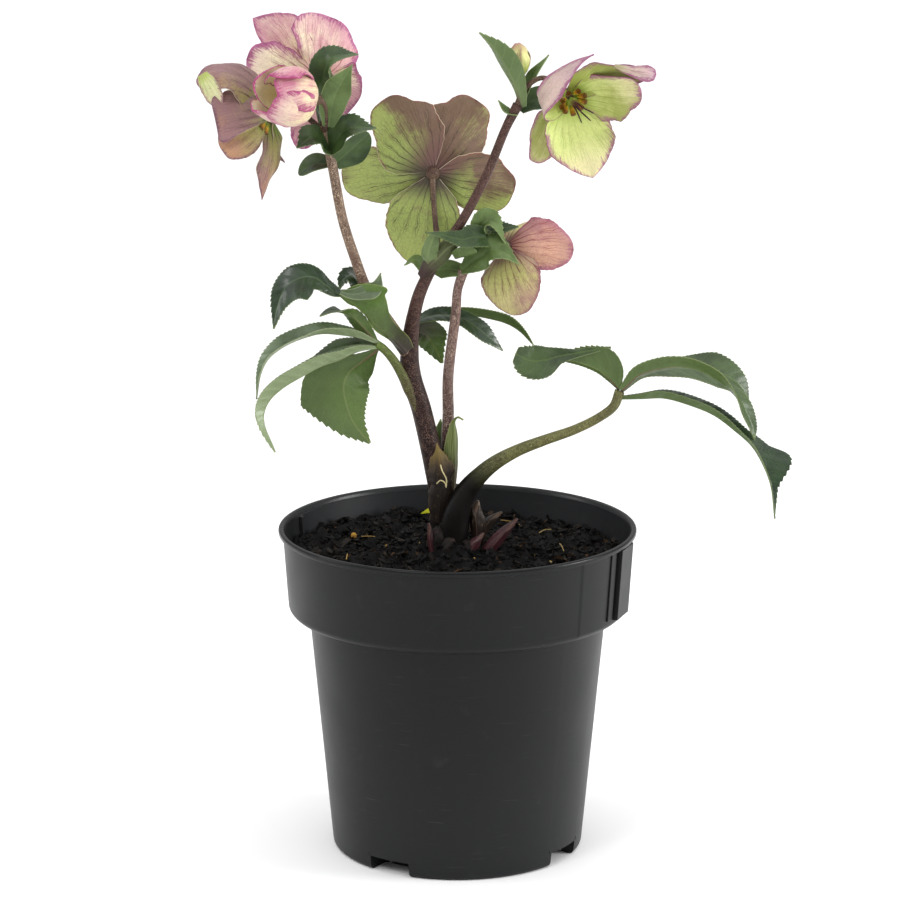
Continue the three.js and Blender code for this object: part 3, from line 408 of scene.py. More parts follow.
def lump(at, radii, skin=0, rows=14, columns=22, tone=0.5, rough=0.0):
    """A round lump, knobbly by `rough`, as a share of its radius."""
    polar = np.linspace(0.02, np.pi - 0.02, rows + 1)
    polar, turn = np.meshgrid(polar, ring_angles(columns), indexing="ij")
    knob = 1 + rough * np.sin(3 * turn + 4 * polar) * np.sin(5 * polar + 2 * turn + 9 * tone)
    way = np.stack([np.sin(polar) * np.cos(turn), np.sin(polar) * np.sin(turn), np.cos(polar)], -1)
    points = np.asarray(at, float) + way * np.asarray(radii, float) * knob[..., None]
    return Form(points, lidded(rows, columns, flip=True), skin, along=polar.ravel() / np.pi, tone=tone)


# ---- blades: leaflets, bracts and sepals ----

LEAF_THICK = 0.9
SEPAL_THICK = 0.8
LEAST_HALF = 0.4  # a blade is nowhere narrower than this to each side
SIDE_VEIN_RUN = 6.5  # from one side vein of a leaf to the next, along the midrib
VEIN_SLANT = 0.9  # how far a side vein runs forward for each millimetre outward
VEIN_ROOT = 5.0  # the veins of a sepal meet this far behind its foot
VEIN_STEP = 10.5  # degrees between them
TIP_SHAPES = dict(round=(2.0, 0.5), blunt=(3.2, 0.31), square=(7.0, 0.14), pointed=(2.6, 0.85))


def tip_shape(kind, u):
    """How a blade's width closes toward its tip, for u from 0 at the foot to 1 at the tip."""
    if kind == "acute":
        return np.where(u < 0.62, 1, np.power(np.maximum(0, (1 - u) / 0.38), 0.8))
    hold, close = TIP_SHAPES[kind]
    far = np.clip((u - 0.5) / 0.5, 0, 1)
    return np.maximum(0, 1 - far**hold) ** close


def leaf_relief(u, v, x, y, tone):
    """Side veins that sink into the upper face, with the blade puffed up between them.

    A relief gives a height, a phase that is whole on each vein, and the veins' spacing.
    """
    phase = (x - VEIN_SLANT * y) / SIDE_VEIN_RUN + np.where(v < 0, 0.5, 0) + tone
    puff = np.sqrt(np.abs(np.sin(np.pi * phase)))
    held = eased(np.abs(v), 0.02, 0.3) * (1 - np.abs(v) ** 4)
    groove = -0.45 * np.exp(-(y**2)) * (1 - 0.8 * u)
    spacing = np.full_like(x, SIDE_VEIN_RUN / math.hypot(1, VEIN_SLANT))
    return 0.3 * (puff - 0.7) * held + groove, phase, spacing


def sepal_relief(u, v, x, y, tone):
    """Veins that fan out from behind the foot, over a soft buckle."""
    turn = np.degrees(np.arctan2(y * np.sign(v), x + VEIN_ROOT)) * (1 + 0.25 * u * u)
    fan = turn / VEIN_STEP
    spacing = np.hypot(x + VEIN_ROOT, y) * math.radians(VEIN_STEP)
    puff = 0.16 * np.abs(np.sin(np.pi * fan)) * eased(u, 0, 0.3) * (1 - u)
    buckle = 0.7 * np.sin(5 * u + 2.4 * v + 6 * tone) * np.sin(3.1 * v + 4 * tone) * eased(u, 0.1, 0.6)
    return puff + buckle, fan, spacing


THIN_SCALE = dict(thick=0.4, relief=sepal_relief)  # the scales of the closed bud and the shoots


def blade_width(u, v, left, right, tip, ragged, tone):
    """The half width on a point's own side of the spine, with a ragged edge."""
    full = np.where(v < 0, smooth_list(left, u), smooth_list(right, u)) * tip_shape(tip, u)
    sign = np.sign(v)
    notch = np.sin(23 * u + 7 * sign + 11 * tone) + 0.6 * np.sin(51 * u + 3 * sign) + 0.5 * np.sin(97 * u)
    return np.maximum(LEAST_HALF, full * (1 + ragged * notch))


def blade_lift(u, v, wave, ruffle, tone):
    """How far a blade's sides wave and ruffle up and down, and not at its foot and tip."""
    waves = wave[0] * v * v * np.sin(wave[1] * np.pi * u + np.where(v < 0, 1.3, 0))
    ruffles = ruffle * np.abs(v) ** 3 * np.sin(19 * u + 5 * np.sign(v) + 9 * tone)
    return (waves + ruffles) * np.sin(np.pi * u)


def toothed(u, size, full, count, tooth):
    """How far out a blade's points reach, and how far its teeth lean ahead along the spine."""
    if not count:
        return full, 0
    share = (u * count) % 1
    rise = np.where(share < 0.75, share / 0.75, (1 - share) / 0.25)
    rim = eased(size, 0.78, 1.0)
    return full - tooth * (1 - rise) * rim * eased(full, 1, 4), 0.35 * rise * rim / count


def sheet_faces(rows, columns):
    """The faces of a sheet closed all round: above, below, and a strip along each side."""
    n = (rows + 1) * (columns + 1)
    index = np.arange(n).reshape(rows + 1, columns + 1)
    sides = (
        (index[:-1, 0], index[1:, 0]), (index[1:, -1], index[:-1, -1]),
        (index[0, 1:], index[0, :-1]), (index[-1, :-1], index[-1, 1:]),
    )
    strips = [np.stack([a, b, b + n, a + n], -1) for a, b in sides]
    return [grid(rows, columns), grid(rows, columns, n, flip=True), *strips]


def blade(
    path, up, left, right=None, tip="acute", fold=0, curl=0, wave=(0, 0), thick=LEAF_THICK, dense=1,
    rows=70, columns=22, pitch=0, tooth=0.6, relief=leaf_relief, skin=0, tone=0.3, rib=0.6, ruffle=0.0,
    ragged=0.0, dusk=0.5,
):
    """A thin sheet along a spine: u runs from its foot to its tip, v from its left edge to its right.

    `left` and `right` are half widths. `up` is the way the upper face looks, once or along the spine.
    `fold` and `curl` are degrees, at the midrib and more toward the edges. `pitch` is from tooth to tooth.
    `dense` above 1 packs the rows toward the tip.
    """
    ups = np.array(up if np.ndim(up) == 2 else [up], float)
    length = length_of(path)
    count = max(2, round(length / pitch)) if pitch else 0
    rows = max(rows, count * 4)
    u = 1 - (1 - np.linspace(0, 1, rows + 1)) ** dense
    v = np.linspace(-1, 1, columns + 1)
    v = v * (1.3 - 0.3 * v * v)
    u, v = np.meshgrid(u, v, indexing="ij")
    size, sign = np.abs(v), np.sign(v)
    full = blade_width(u, v, left, right or left, tip, ragged, tone)
    reach, ahead = toothed(u, size, full, count, tooth)
    t = np.clip(u + ahead, 0, 1)
    centre, along = curve_at(path, t), tangent_at(path, t)
    look = np.stack([straight_list(ups[:, k], t) for k in range(3)], -1)
    normal = square_to(look, along)
    side = np.cross(along, normal)
    middle, local = np.radians(fold + curl * size / 2), np.radians(fold + curl * size)
    out = reach * size
    soft = np.sqrt(out**2 + 0.49) - 0.7
    lift = blade_lift(u, v, wave, ruffle, tone)
    height, veins, spacing = relief(u, v, u * length, out, tone)
    height = height * eased(full, 1, 6)
    point = centre + side * (sign * out * np.cos(middle))[..., None]
    point = point + normal * (soft * np.sin(middle) + lift)[..., None]
    skin_way = normal * np.cos(local)[..., None] - side * (sign * np.sin(local))[..., None]
    half = thick / 2 * (1 - 0.5 * size**2)
    keel = rib * np.exp(-((out / 0.8) ** 2)) * (1 - 0.85 * u) * eased(full, 0.6, 3)
    top = point + skin_way * (height + half)[..., None]
    under = point + skin_way * (height - half - keel)[..., None]
    values = dict(along=u, across=v, vein=veins, spacing=spacing, rib=out)
    values["edge"] = np.minimum(full * (1 - size), (1 - u) * length)
    # Painted shade: dusk gives sepals, and sides of sepals, that lie in shadow more of their darker blotch
    # colour; elsewhere it sets real blotching.
    values["dusk"] = np.interp(v, (-1, 1), np.broadcast_to(dusk, 2))
    values = {name: np.tile(value.ravel(), 2) for name, value in values.items()}
    values["top"] = np.repeat([1.0, 0.0], u.size)
    points = np.concatenate([top.reshape(-1, 3), under.reshape(-1, 3)])
    return Form(points, sheet_faces(rows, columns), skin, tone=tone, **values)


# ---- blooms ----

SEPAL_SHAPE = [0.2, 0.7, 0.95, 1, 1, 0.9]  # half widths along a sepal, as shares of its widest
SEPAL_FOOT = 2.6  # how far from the heart a sepal begins
SEPAL_WAVE = [0.8, 3]
CORE = 3.6  # the radius of the knob that the sepals stand on
NECTARY_COUNT = 9
STYLE_COUNT = 4
STYLE_LENGTH = 23


def spread_tone(i, first):
    """A tone from 0 to 1 for the i-th of several, unlike those of its neighbours."""
    return (i * 0.37 + first) % 1


def leaning(heart, facing, turn, lean, length):
    """A point at a length from the heart, leaning out from the way the bloom faces."""
    axis = unit(facing)
    rise = square_to(UP, axis)
    turn, lean = math.radians(turn), math.radians(lean)
    aside = np.cross(rise, axis) * math.cos(turn) + rise * math.sin(turn)
    return np.array(heart, float) + length * (axis * math.cos(lean) + aside * math.sin(lean))


def sepal(
    heart, facing, tip=None, at=None, left=None, half=None, sag=(0, 0), bend=None, up=None, roll=0, curl=10,
    ruffle=0.6, end="blunt", **rest,
):
    """One petal-like sepal from the bloom's heart to its tip. `sag` bows its spine outward.

    Its tip is a point, or `at` a turn, a lean and a length from the heart.
    """
    axis, heart = unit(facing), np.array(heart, float)
    tip = leaning(heart, facing, *at) if tip is None else tip
    run = np.array(tip, float) - heart
    along = unit(run)
    inner = axis * 0.55 - square_to(run, axis) * 0.8 if up is None else np.array(up, float)
    if roll:
        inner = turned(inner, along, roll)
    if bend is None:
        back = -square_to(inner, along)
        bend = [heart + run * 0.34 + back * sag[0], heart + run * 0.7 + back * sag[1]]
    return blade(
        [heart + along * SEPAL_FOOT, *bend, tip], inner, left or [share * half for share in SEPAL_SHAPE],
        tip=end, curl=curl, wave=SEPAL_WAVE, thick=SEPAL_THICK, dense=1.2, rows=64, columns=42,
        relief=sepal_relief, rib=0.12, ruffle=ruffle, ragged=0.014, **rest,
    )


def bloom_forms(heart, facing, sepals, core=CORE, shared=None, turnovers=()):
    """The sepals, the core they stand on, and any edge of a sepal that is turned over."""
    forms = []
    for i, measures in enumerate(sepals):
        forms.append(sepal(heart, facing, tone=spread_tone(i, 0.11), **(shared or {}), **measures))
    forms.append(lump(heart, [core] * 3, skin=1, tone=0.4))
    for edge in turnovers:
        forms.append(blade(**edge, thick=SEPAL_THICK, rows=30, relief=sepal_relief, rib=0.1, ragged=0.02))
    return forms


def nectary_forms(heart, facing):
    """A ring of trumpet-shaped tubes, each open at its mouth."""
    seat = np.array(heart, float) + unit(facing) * (CORE + 0.2)
    t = [0, 0.2, 0.5, 0.8, 0.94, 1, 0.97, 0.8, 0.6]
    radius = [0.5, 0.85, 1.25, 1.45, 1.5, 1.35, 1.1, 0.9, 0.6]
    forms = []
    for i in range(NECTARY_COUNT):
        turn = 360 * i / NECTARY_COUNT + 8 * math.sin(5 * i)
        bends = ((86, 2.9), (68, 5.4), (58, 8.2 + 0.8 * math.sin(3.1 * i)))
        path = [leaning(seat, facing, turn, lean, reach) for lean, reach in bends]
        forms.append(swept(path, t, radius, 12, tone=(i * 0.31) % 1))
    return forms


def pistil_forms(heart, facing):
    """Green carpels pressed together, each drawn out into a long dark style."""
    foot = np.array(heart, float) + unit(facing) * (CORE + 0.3)
    t = np.linspace(0, 1, 26)
    radius = straight_list([0.9, 1.35, 1.3, 0.8, 0.55, 0.5, 0.45, 0.42, 0.4, 0.3], t)
    forms = []
    for i in range(STYLE_COUNT):
        turn = 360 * i / STYLE_COUNT + 30
        bends = ((0, 62, 1.0), (0, 16, 4.4), (0, 9, 9.5), (20, 10 + 2 * (i % 2), STYLE_LENGTH - i))
        path = [leaning(foot, facing, turn + twist, lean, reach) for twist, lean, reach in bends]
        forms.append(swept(path, t, radius, 10, tone=(i * 0.31) % 1))
    return forms


# ---- pot ----

POT_HEIGHT = 176
RIM_RADIUS = 95.6
LIP_HEIGHT = 3.4
LIP_WIDTH = 2.7
BAND_TOP_RADIUS, BAND_BOTTOM_RADIUS, BAND_BOTTOM = 93.4, 90.4, 131
BODY_TOP_RADIUS, BODY_BOTTOM_RADIUS = 79.4, 67.3
WALL, BAND_WALL = 1.8, 1.1
POT_FLOOR = 2.6
LABEL_TURN = 66  # degrees from the front
LABEL_RIBS = [(-8.5, 5, 0.9, 136), (6, 19, 2.3, 135)]  # across, width, depth, foot
PANEL_REACH = 22  # the raised panel around the label ribs, in degrees to each side of them
PANEL_RISE = 0.22
PAD = (57, 12)  # the flat pad inside the band: its middle, from the front, and its reach, in degrees
PAD_TOP = POT_HEIGHT - 3
PAD_RISE = 0.8
DRAIN_WIDTH, DRAIN_DEPTH, DRAIN_HEIGHT, DRAIN_ROOF = 24, 15, 8, 2
DRAIN_TURNS = [-32.6 + 90 * i for i in range(4)]


def taper(z):
    """The radius of the pot's body at a height."""
    return BODY_BOTTOM_RADIUS + (BODY_TOP_RADIUS - BODY_BOTTOM_RADIUS) * z / (BAND_BOTTOM - 2)


def band_radius(z):
    share = (z - BAND_BOTTOM) / (POT_HEIGHT - BAND_BOTTOM)
    return BAND_BOTTOM_RADIUS + (BAND_TOP_RADIUS - BAND_BOTTOM_RADIUS) * share


def rounded(corners, radius, steps=4):
    """An outline with each inner corner rounded by a short arc of points."""
    corners = [np.array(c, float) for c in corners]
    out = [corners[0]]
    for before, corner, after in zip(corners, corners[1:], corners[2:]):
        a, b = before - corner, after - corner
        r = min(radius, np.linalg.norm(a) * 0.45, np.linalg.norm(b) * 0.45)
        start, end = corner + unit(a) * r, corner + unit(b) * r
        for k in range(steps + 1):
            s = k / steps
            out.append(start * (1 - s) ** 2 + corner * 2 * s * (1 - s) + end * s * s)
    return [*out, corners[-1]]


def spun(outline, turns, shift):
    """A closed outline of (radius, height) points spun about +Z, with `shift` added to its radius."""
    outline, turns = np.array(outline, float), np.array(turns, float)[:, None]
    r, z = outline[1:-1].T
    radius = r + shift(turns, z[None, :], np.broadcast_to(r, (len(turns), len(r))))
    angle = np.radians(turns)
    x, y = radius * np.sin(angle), -radius * np.cos(angle)
    points = np.stack([x, y, np.broadcast_to(z, x.shape)], -1).reshape(-1, 3)
    rows, wide = len(turns), len(r)
    i, k = np.meshgrid(np.arange(rows), np.arange(wide - 1), indexing="ij")
    here, after = i * wide + k, (i + 1) % rows * wide + k
    quads = np.stack([here, after, after + 1, here + 1], -1).reshape(-1, 4)
    poles = [[0, 0, outline[0, 1]], [0, 0, outline[-1, 1]]]
    ring = np.arange(rows)
    low, after_low = ring * wide, (ring + 1) % rows * wide
    first = np.stack([np.full(rows, len(points)), after_low, low], -1)
    last = np.stack([np.full(rows, len(points) + 1), low + wide - 1, after_low + wide - 1], -1)
    return Form(np.vstack([points, poles]), [quads, first, last])


def block(turn, width, reach, span, flare=0.0):
    """A box at `turn` degrees from the front, between two radii and two heights, leaning out by `flare`."""
    half, (near, far) = width / 2, reach
    ring = [(-half, -far), (half, -far), (half, -near), (-half, -near)]
    points = np.array([(x, y - flare * k, z) for k, z in enumerate(span) for x, y in ring], float)
    quads = [(0, 3, 2, 1), (4, 5, 6, 7), (0, 1, 5, 4), (1, 2, 6, 5), (2, 3, 7, 6), (3, 0, 4, 7)]
    return Form([turned(point, UP, turn) for point in points], [quads])


def cut_with(piece, cutters):
    """Cuts closed forms out of a piece."""
    mesh = mesh_of("cutter", cutters, [])
    cutter = add_object("cutter", mesh)
    change = piece.modifiers.new("cut", "BOOLEAN")
    change.operation = "DIFFERENCE"
    change.solver = "EXACT"
    change.object = cutter
    bpy.context.view_layer.update()
    made = bpy.data.meshes.new_from_object(piece.evaluated_get(bpy.context.evaluated_depsgraph_get()))
    piece.modifiers.clear()
    piece.data = made
    bpy.data.objects.remove(cutter)
    bpy.data.meshes.remove(mesh)


def pot_outline():
    """Half the section of the pot, from the middle of its foot round to the middle of its floor."""
    lip, ledge = POT_HEIGHT - LIP_HEIGHT, BAND_BOTTOM + WALL
    pad = band_radius(PAD_TOP) - BAND_WALL
    outside = [
        (0, 0), (taper(0) - 1.6, 0), (taper(1.6), 1.6), (taper(BAND_BOTTOM - 2), BAND_BOTTOM - 2),
        (BAND_BOTTOM_RADIUS - 2.4, BAND_BOTTOM - 0.6), (BAND_BOTTOM_RADIUS, BAND_BOTTOM + 2),
        (band_radius(lip), lip), (RIM_RADIUS, lip + 0.5), (RIM_RADIUS, POT_HEIGHT),
    ]
    inside = [
        (RIM_RADIUS - LIP_WIDTH, POT_HEIGHT), (pad, PAD_TOP + 0.6), (pad, PAD_TOP),
        (band_radius(ledge) - BAND_WALL - 1, ledge), (taper(BAND_BOTTOM) - WALL, ledge),
        (taper(POT_FLOOR) - WALL, POT_FLOOR), (0, POT_FLOOR),
    ]
    return rounded([*outside, *inside], 1.5)


def pot_turns():
    """The turns at which the outline stands, with pairs close together where the panel and pads end."""
    turns = list(np.arange(0, 360, 2.25))
    for half in (0, 180):
        turns += [LABEL_TURN + half - PANEL_REACH + d for d in (-0.35, 0.0)]
        turns += [PAD[0] + half + side * (PAD[1] + d) for side in (-1, 1) for d in (0.0, 0.4)]
    return sorted(turns)


def pot_shift(turn, z, radius):
    """The panel around the label ribs stands a little proud of the band, and so does the pad inside."""
    within = (z > BAND_BOTTOM + 1.8) & (z < POT_HEIGHT - LIP_HEIGHT - 0.1)
    outside = (radius > BAND_BOTTOM_RADIUS - 0.6) & within
    inside = (radius < band_radius(z) - 0.7) & (z > BAND_BOTTOM + 1) & (z <= PAD_TOP + 0.2)
    shift = np.zeros(np.broadcast_shapes(turn.shape, z.shape))
    for half in (0, 180):
        beside = np.abs((turn - LABEL_TURN - half + 180) % 360 - 180) <= PANEL_REACH + 0.01
        behind = np.abs((turn - PAD[0] - half + 180) % 360 - 180) <= PAD[1] + 0.01
        shift = shift + PANEL_RISE * beside * outside - PAD_RISE * behind * inside
    return shift


def label_forms():
    """Outside, a thin and a broad rib with a groove between them; inside, a rib at the edge of the pad."""
    forms = []
    top, pad_foot = POT_HEIGHT - LIP_HEIGHT + 0.6, BAND_BOTTOM + 6
    for half in (0, 180):
        for across, width, depth, low in LABEL_RIBS:
            turn = LABEL_TURN + half + math.degrees(across / BAND_BOTTOM_RADIUS)
            wall = band_radius(low)
            flare = band_radius(top) - wall
            forms.append(block(turn, width, (wall - 1.4, wall + depth), (low, top), flare))
        near = band_radius(pad_foot) - WALL - 1.6
        flare = band_radius(PAD_TOP) - band_radius(pad_foot)
        forms.append(block(half + sum(PAD), 2.4, (near, near + 3), (pad_foot, PAD_TOP), flare))
    return forms


def drain_cutters():
    near = BODY_BOTTOM_RADIUS - DRAIN_DEPTH
    return [block(turn, DRAIN_WIDTH, (near, 90), (-2, DRAIN_HEIGHT)) for turn in DRAIN_TURNS]


def drain_roofs():
    """The pockets over the drain arches, seen from outside and under the soil."""
    near = BODY_BOTTOM_RADIUS - DRAIN_DEPTH - WALL
    far = taper(DRAIN_HEIGHT) - 1.0
    wide, walls = DRAIN_WIDTH + 2 * WALL, (POT_FLOOR - 1, DRAIN_HEIGHT + 1)
    aside = math.degrees((DRAIN_WIDTH + WALL) / 2 / (BODY_BOTTOM_RADIUS - 4))
    forms = []
    for turn in DRAIN_TURNS:
        forms.append(block(turn, wide, (near, far), (DRAIN_HEIGHT, DRAIN_HEIGHT + DRAIN_ROOF)))
        forms.append(block(turn, wide, (near, near + WALL), walls))
        forms.append(block(turn, 1.3, (near + 1, far - 1.6), (DRAIN_HEIGHT - 2.6, DRAIN_HEIGHT + 0.5)))
        forms += [block(turn + side * aside, WALL, (near + 1, far), walls) for side in (-1, 1)]
    return forms


# ---- potting mix ----

SOIL_LEVEL = 161
SOIL_BUMP = 1.7
MOUND_AT, MOUND_REACH, MOUND_HEIGHT = (6, -8), 26, 5.5  # where the mix is heaped up around the crown
BARK_COUNT, CRUMB_COUNT, GRAIN_COUNT = 2600, 4200, 26
BARK, STRAW, BEAD, SCRAP = 0.0, 1.0, 2.0, 3.0  # the kinds that the mix's material tells apart
STRAWS = [(62, -46), (70, -38), (48, 40), (-58, -34), (-20, -62), (30, 62), (-46, 22), (12, -72), (56, 8)]
BEADS = [(-56, 20), (38, -46), (-8, -78)]
LEAF_SCRAP = [[-9, 62, 166], [-14, 65, 167.5], [-20, 66, 166]]


def soil_top(x, y):
    away = np.hypot(x - MOUND_AT[0], y - MOUND_AT[1]) / MOUND_REACH
    broad = np.sin(x * 0.19 + y * 0.11) * np.cos(y * 0.23 - x * 0.07)
    fine = 0.6 * np.sin(x * 0.41 - y * 0.37 + 1)
    return SOIL_LEVEL - x * 0.018 + MOUND_HEIGHT * np.exp(-away * away) + SOIL_BUMP * (broad + fine)


def soil_bed(draw):
    """The plug of mix with a crumbly top, and the function that gives its height."""
    waves = draw.normal(size=(18, 2)) * np.geomspace(0.25, 1.6, 18)[:, None]
    phases = draw.uniform(0, 6.28, 18)

    def height(x, y):
        crumbs = 0
        for (a, b), phase in zip(waves, phases):
            crumbs = crumbs + np.sin(x * a + y * b + phase) * 0.55 / (0.6 + math.hypot(a, b))
        return soil_top(x, y) + crumbs

    rim = band_radius(SOIL_LEVEL) - WALL - 0.6
    ledge, foot = taper(BAND_BOTTOM) - WALL - 0.4, taper(POT_FLOOR) - WALL - 0.4
    rings, sectors = 60, 150
    r, a = np.meshgrid(np.linspace(0.4, rim - 0.2, rings + 1), ring_angles(sectors), indexing="ij")
    cos, sin = np.cos(a), np.sin(a)
    points = [np.stack([r * cos, r * sin, height(r * cos, r * sin)], -1)]
    for radius, z in ((rim, 134), (ledge, 133), (foot, 12), (20, 12)):
        points.append(np.stack([radius * cos[:1], radius * sin[:1], np.full((1, sectors), z)], -1))
    return Form(np.concatenate(points), lidded(rings + 4, sectors), tone=0.15, kind=BARK), height


def chip(draw, at, size, tone, kind):
    """One piece of bark: an uneven many-sided slab, turned any way round but lying fairly flat."""
    sides = int(draw.integers(5, 8))
    angle = np.sort(draw.uniform(0, 2 * np.pi, sides))
    radius = draw.uniform(0.7, 1.0, sides)
    shape = np.stack([np.cos(angle) * radius * size[0], np.sin(angle) * radius * size[1]], -1)
    low = np.column_stack([shape * 0.86, -size[2] + draw.normal(0, 0.1, sides) * size[2]])
    high = np.column_stack([shape, size[2] + draw.normal(0, 0.35, sides) * size[2]])
    crest = np.array([[0, 0, size[2] * draw.uniform(1.1, 1.7)]])
    points = np.vstack([low, high, crest])
    spin, tilt = draw.uniform(0, 2 * np.pi), draw.normal(0, 0.35, 2)
    turn = np.array([[math.cos(spin), -math.sin(spin), 0], [math.sin(spin), math.cos(spin), 0], [0, 0, 1]])
    points = points @ turn.T
    points[:, 2] += points[:, 0] * tilt[0] + points[:, 1] * tilt[1]
    ring = np.arange(sides)
    after = (ring + 1) % sides
    walls = np.stack([ring, after, after + sides, ring + sides], -1)
    crown = np.stack([ring + sides, after + sides, np.full(sides, 2 * sides)], -1)
    return Form(points + at, [ring[::-1][None], walls, crown], tone=tone, kind=kind)


def marked(form, kind):
    form.values["kind"] = np.full(len(form.points), kind)
    return form


def soil_forms():
    draw = np.random.default_rng(SEED)
    bed, height = soil_bed(draw)

    def somewhere():
        """A random place on the mix."""
        reach = (band_radius(SOIL_LEVEL) - WALL - 3) * math.sqrt(draw.uniform())
        turn = draw.uniform(0, 2 * np.pi)
        x, y = reach * math.cos(turn), reach * math.sin(turn)
        return np.array([x, y, height(x, y)])

    forms = [bed]
    for i in range(BARK_COUNT + CRUMB_COUNT):
        at = somewhere()
        big = i < BARK_COUNT
        long = draw.gamma(2.4, 0.75) + 0.7 if big else draw.uniform(0.35, 1.1)
        size = (long, long * draw.uniform(0.3, 0.75), draw.uniform(0.25, 0.8) * (1 if big else 0.5))
        tone = draw.uniform()
        forms.append(chip(draw, at + UP * draw.uniform(-0.4, 0.9), size, tone, BARK))
    for x, y in STRAWS:
        turn = draw.uniform(0, np.pi)
        way = np.array([math.cos(turn), math.sin(turn), 0.1]) * (3 + 5 * draw.uniform())
        at = np.array([x, y, height(x, y) + 1.7])
        path = [at - way, at + [0, 0.8, 0.6], at + way]
        straw = swept(path, np.linspace(0, 1, 8), [0.3] * 8, 6, tone=draw.uniform())
        forms.append(marked(straw, STRAW))
    for _ in range(GRAIN_COUNT):
        at = somewhere() + UP * 0.9
        forms.append(chip(draw, at, (draw.uniform(0.5, 1.6), 0.6, 0.35), draw.uniform(), STRAW))
    for x, y in BEADS:
        forms.append(marked(lump((x, y, height(x, y) + 1.4), [1.7] * 3, 0, 10, 14, 0.3), BEAD))
    scrap = blade(LEAF_SCRAP, [0, -0.3, 1], [2, 3, 2.4], curl=40, rows=20, relief=sepal_relief)
    return [*forms, marked(scrap, SCRAP)]


# ---- skins: in each, `s` is the material that is being made ----


def vein_mask(s, apart, thin, thick):
    """1 on a vein and 0 away from it. `apart` counts in vein spacings, the limits in millimetres."""
    return s.span(s.times(apart, s.value("spacing")), thin, thick, (1, 0))


def leaf_skin(name, top, top_light, under, under_light, rib, margin, gloss, coat, veins=0.2, foot=0):
    """`foot` is how far up the blade the colour of the rib runs, as a share of its length."""
    s = Skin(name, gloss, Coat_Weight=coat, Coat_Roughness=0.25)
    place, along, face = s.place(), s.value("along"), s.value("top")
    mottle, fine = s.noise(place, 70, 4), s.noise(place, 420)
    wander = s.plus(s.value("vein"), s.noise(place, 160, 2), 0.3)
    side_vein = vein_mask(s, s.sum("PINGPONG", wander, 0.5), 0.03, 0.3)
    midrib = s.span(s.value("rib"), 0.2, 0.6, (1, 0))
    net = s.net(place, 620, 0.02, 0.1, (1, 0))
    upper = s.coats(
        top, (s.span(mottle, 0.35, 0.65), top_light), (s.times(net, 0.16), top_light),
        (s.times(side_vein, veins), under_light), (s.times(midrib, 2 * veins), under_light),
    )
    lower = s.coats(
        under, (s.span(s.noise(place, 26), 0.25, 0.75), under_light), (s.times(net, 0.3), under),
        (s.times(side_vein, 0.4), under_light), (s.times(midrib, 0.28), margin),
        (s.times(midrib, s.span(along, 0.05, 0.4, (0.75, 0.05))), rib),
    )
    colour = s.mix(face, lower, upper)
    if foot:
        colour = s.mix(s.span(s.wobble(along, mottle, foot), 0, foot, (0.9, 0)), colour, rib)
    edge = s.span(s.value("edge"), 0.1, 0.4, (0.5, 0))
    colour = s.coats(colour, (edge, margin), (s.span(fine, 0.66, 0.76, (0, 0.3)), top))
    roughness = s.plus(s.span(face, 0, 1, (0.5, gloss)), s.noise(place, 130), 0.16)
    return s.wear(colour, roughness, s.plus(fine, net, -0.5), 0.25)


def sepal_veins(s, place, along):
    """Veins that fan out, fork twice and fade, with a faint net between them."""
    apart = s.sum("PINGPONG", s.wobble(s.value("vein"), s.noise(place, 170), 0.65), 0.5)
    late = s.wobble(along, s.noise(place, 55, 1), 0.7)
    lines = vein_mask(s, apart, 0.04, s.span(along, 0, 0.8, (0.5, 0.22)))
    for begin, end, reach, weight in ((0.2, 0.8, 0.3, 0.8), (0.42, 1.1, 0.55, 0.6)):
        aside = s.sum("ABSOLUTE", s.sum("SUBTRACT", apart, s.span(late, begin, end, (0, reach))))
        fork = s.times(vein_mask(s, aside, 0.03, 0.2), s.span(late, begin, begin + 0.1, (0, weight)))
        lines = s.sum("MAXIMUM", lines, fork)
    lines = s.times(lines, s.span(s.noise(place, 110), 0.36, 0.58, (0.3, 1)))
    net = s.times(s.net(place, 420, 0.01, 0.07, (0.3, 0)), s.span(along, 0.15, 0.4))
    return s.sum("MAXIMUM", lines, net)


def sepal_face(s, heart, middle, outer, blotch, share, margin, width, vein, strength, rim):
    """The colour of one face of a sepal, from its heart to its rim."""
    place, along, edge = s.place(), s.value("along"), s.value("edge")
    streak = s.point(s.times(s.value("vein"), 9), s.times(along, 3), s.value("tone"))
    hair = s.noise(streak, 1.0, 5, 0.7)
    cloud = s.noise(place, 42, 5, 0.62)
    grain = s.noise(place, 640, 3, 0.6)
    # The blotch follows dusk: partly real blotching, partly painted shade.
    dusk = s.wobble(s.wobble(s.value("dusk"), cloud, 1.9), hair, 1.0)
    near = s.wobble(s.wobble(edge, hair, width * 3.4), cloud, width * 2.4)
    near = s.sum("ADD", s.wobble(near, grain, width * 1.4), s.span(along, 0.08, 0.4, (width, 0)))
    lines = s.times(sepal_veins(s, place, along), s.span(along, 0.5, 1.0, (strength, strength * 0.4)))
    return s.coats(
        s.ramp(s.wobble(along, cloud, 0.5), (0.02, heart), (0.42, middle), (0.88, outer)),
        (s.span(dusk, 0.25, 0.85, (0, share)), blotch),
        (s.span(near, 0, width, (0.92, 0)), margin),
        (lines, vein),
        (s.span(grain, 0.5, 0.68, (0, 0.2)), blotch),
        (s.span(edge, 0.08, 0.36, (0.85, 0)), s.mix(s.span(along, 0.6, 0.9), rim, margin)),
    )


def sepal_skin(name, inner, outer):
    s = Skin(
        name, 0.48, Sheen_Weight=0.15, Sheen_Roughness=0.4, Subsurface_Weight=0.12,
        Subsurface_Radius=(0.002, 0.0014, 0.0008),
    )
    place = s.place()
    colour = s.mix(s.value("top"), sepal_face(s, *outer), sepal_face(s, *inner))
    fibre = s.noise(s.point(s.times(s.value("vein"), 7), s.value("along"), s.value("tone")), 1.6)
    gloss = s.plus(0.39, s.noise(place, 90), 0.18)
    return s.wear(colour, gloss, s.plus(fibre, s.noise(place, 900, 2), 0.35), 0.4, 0.0008)


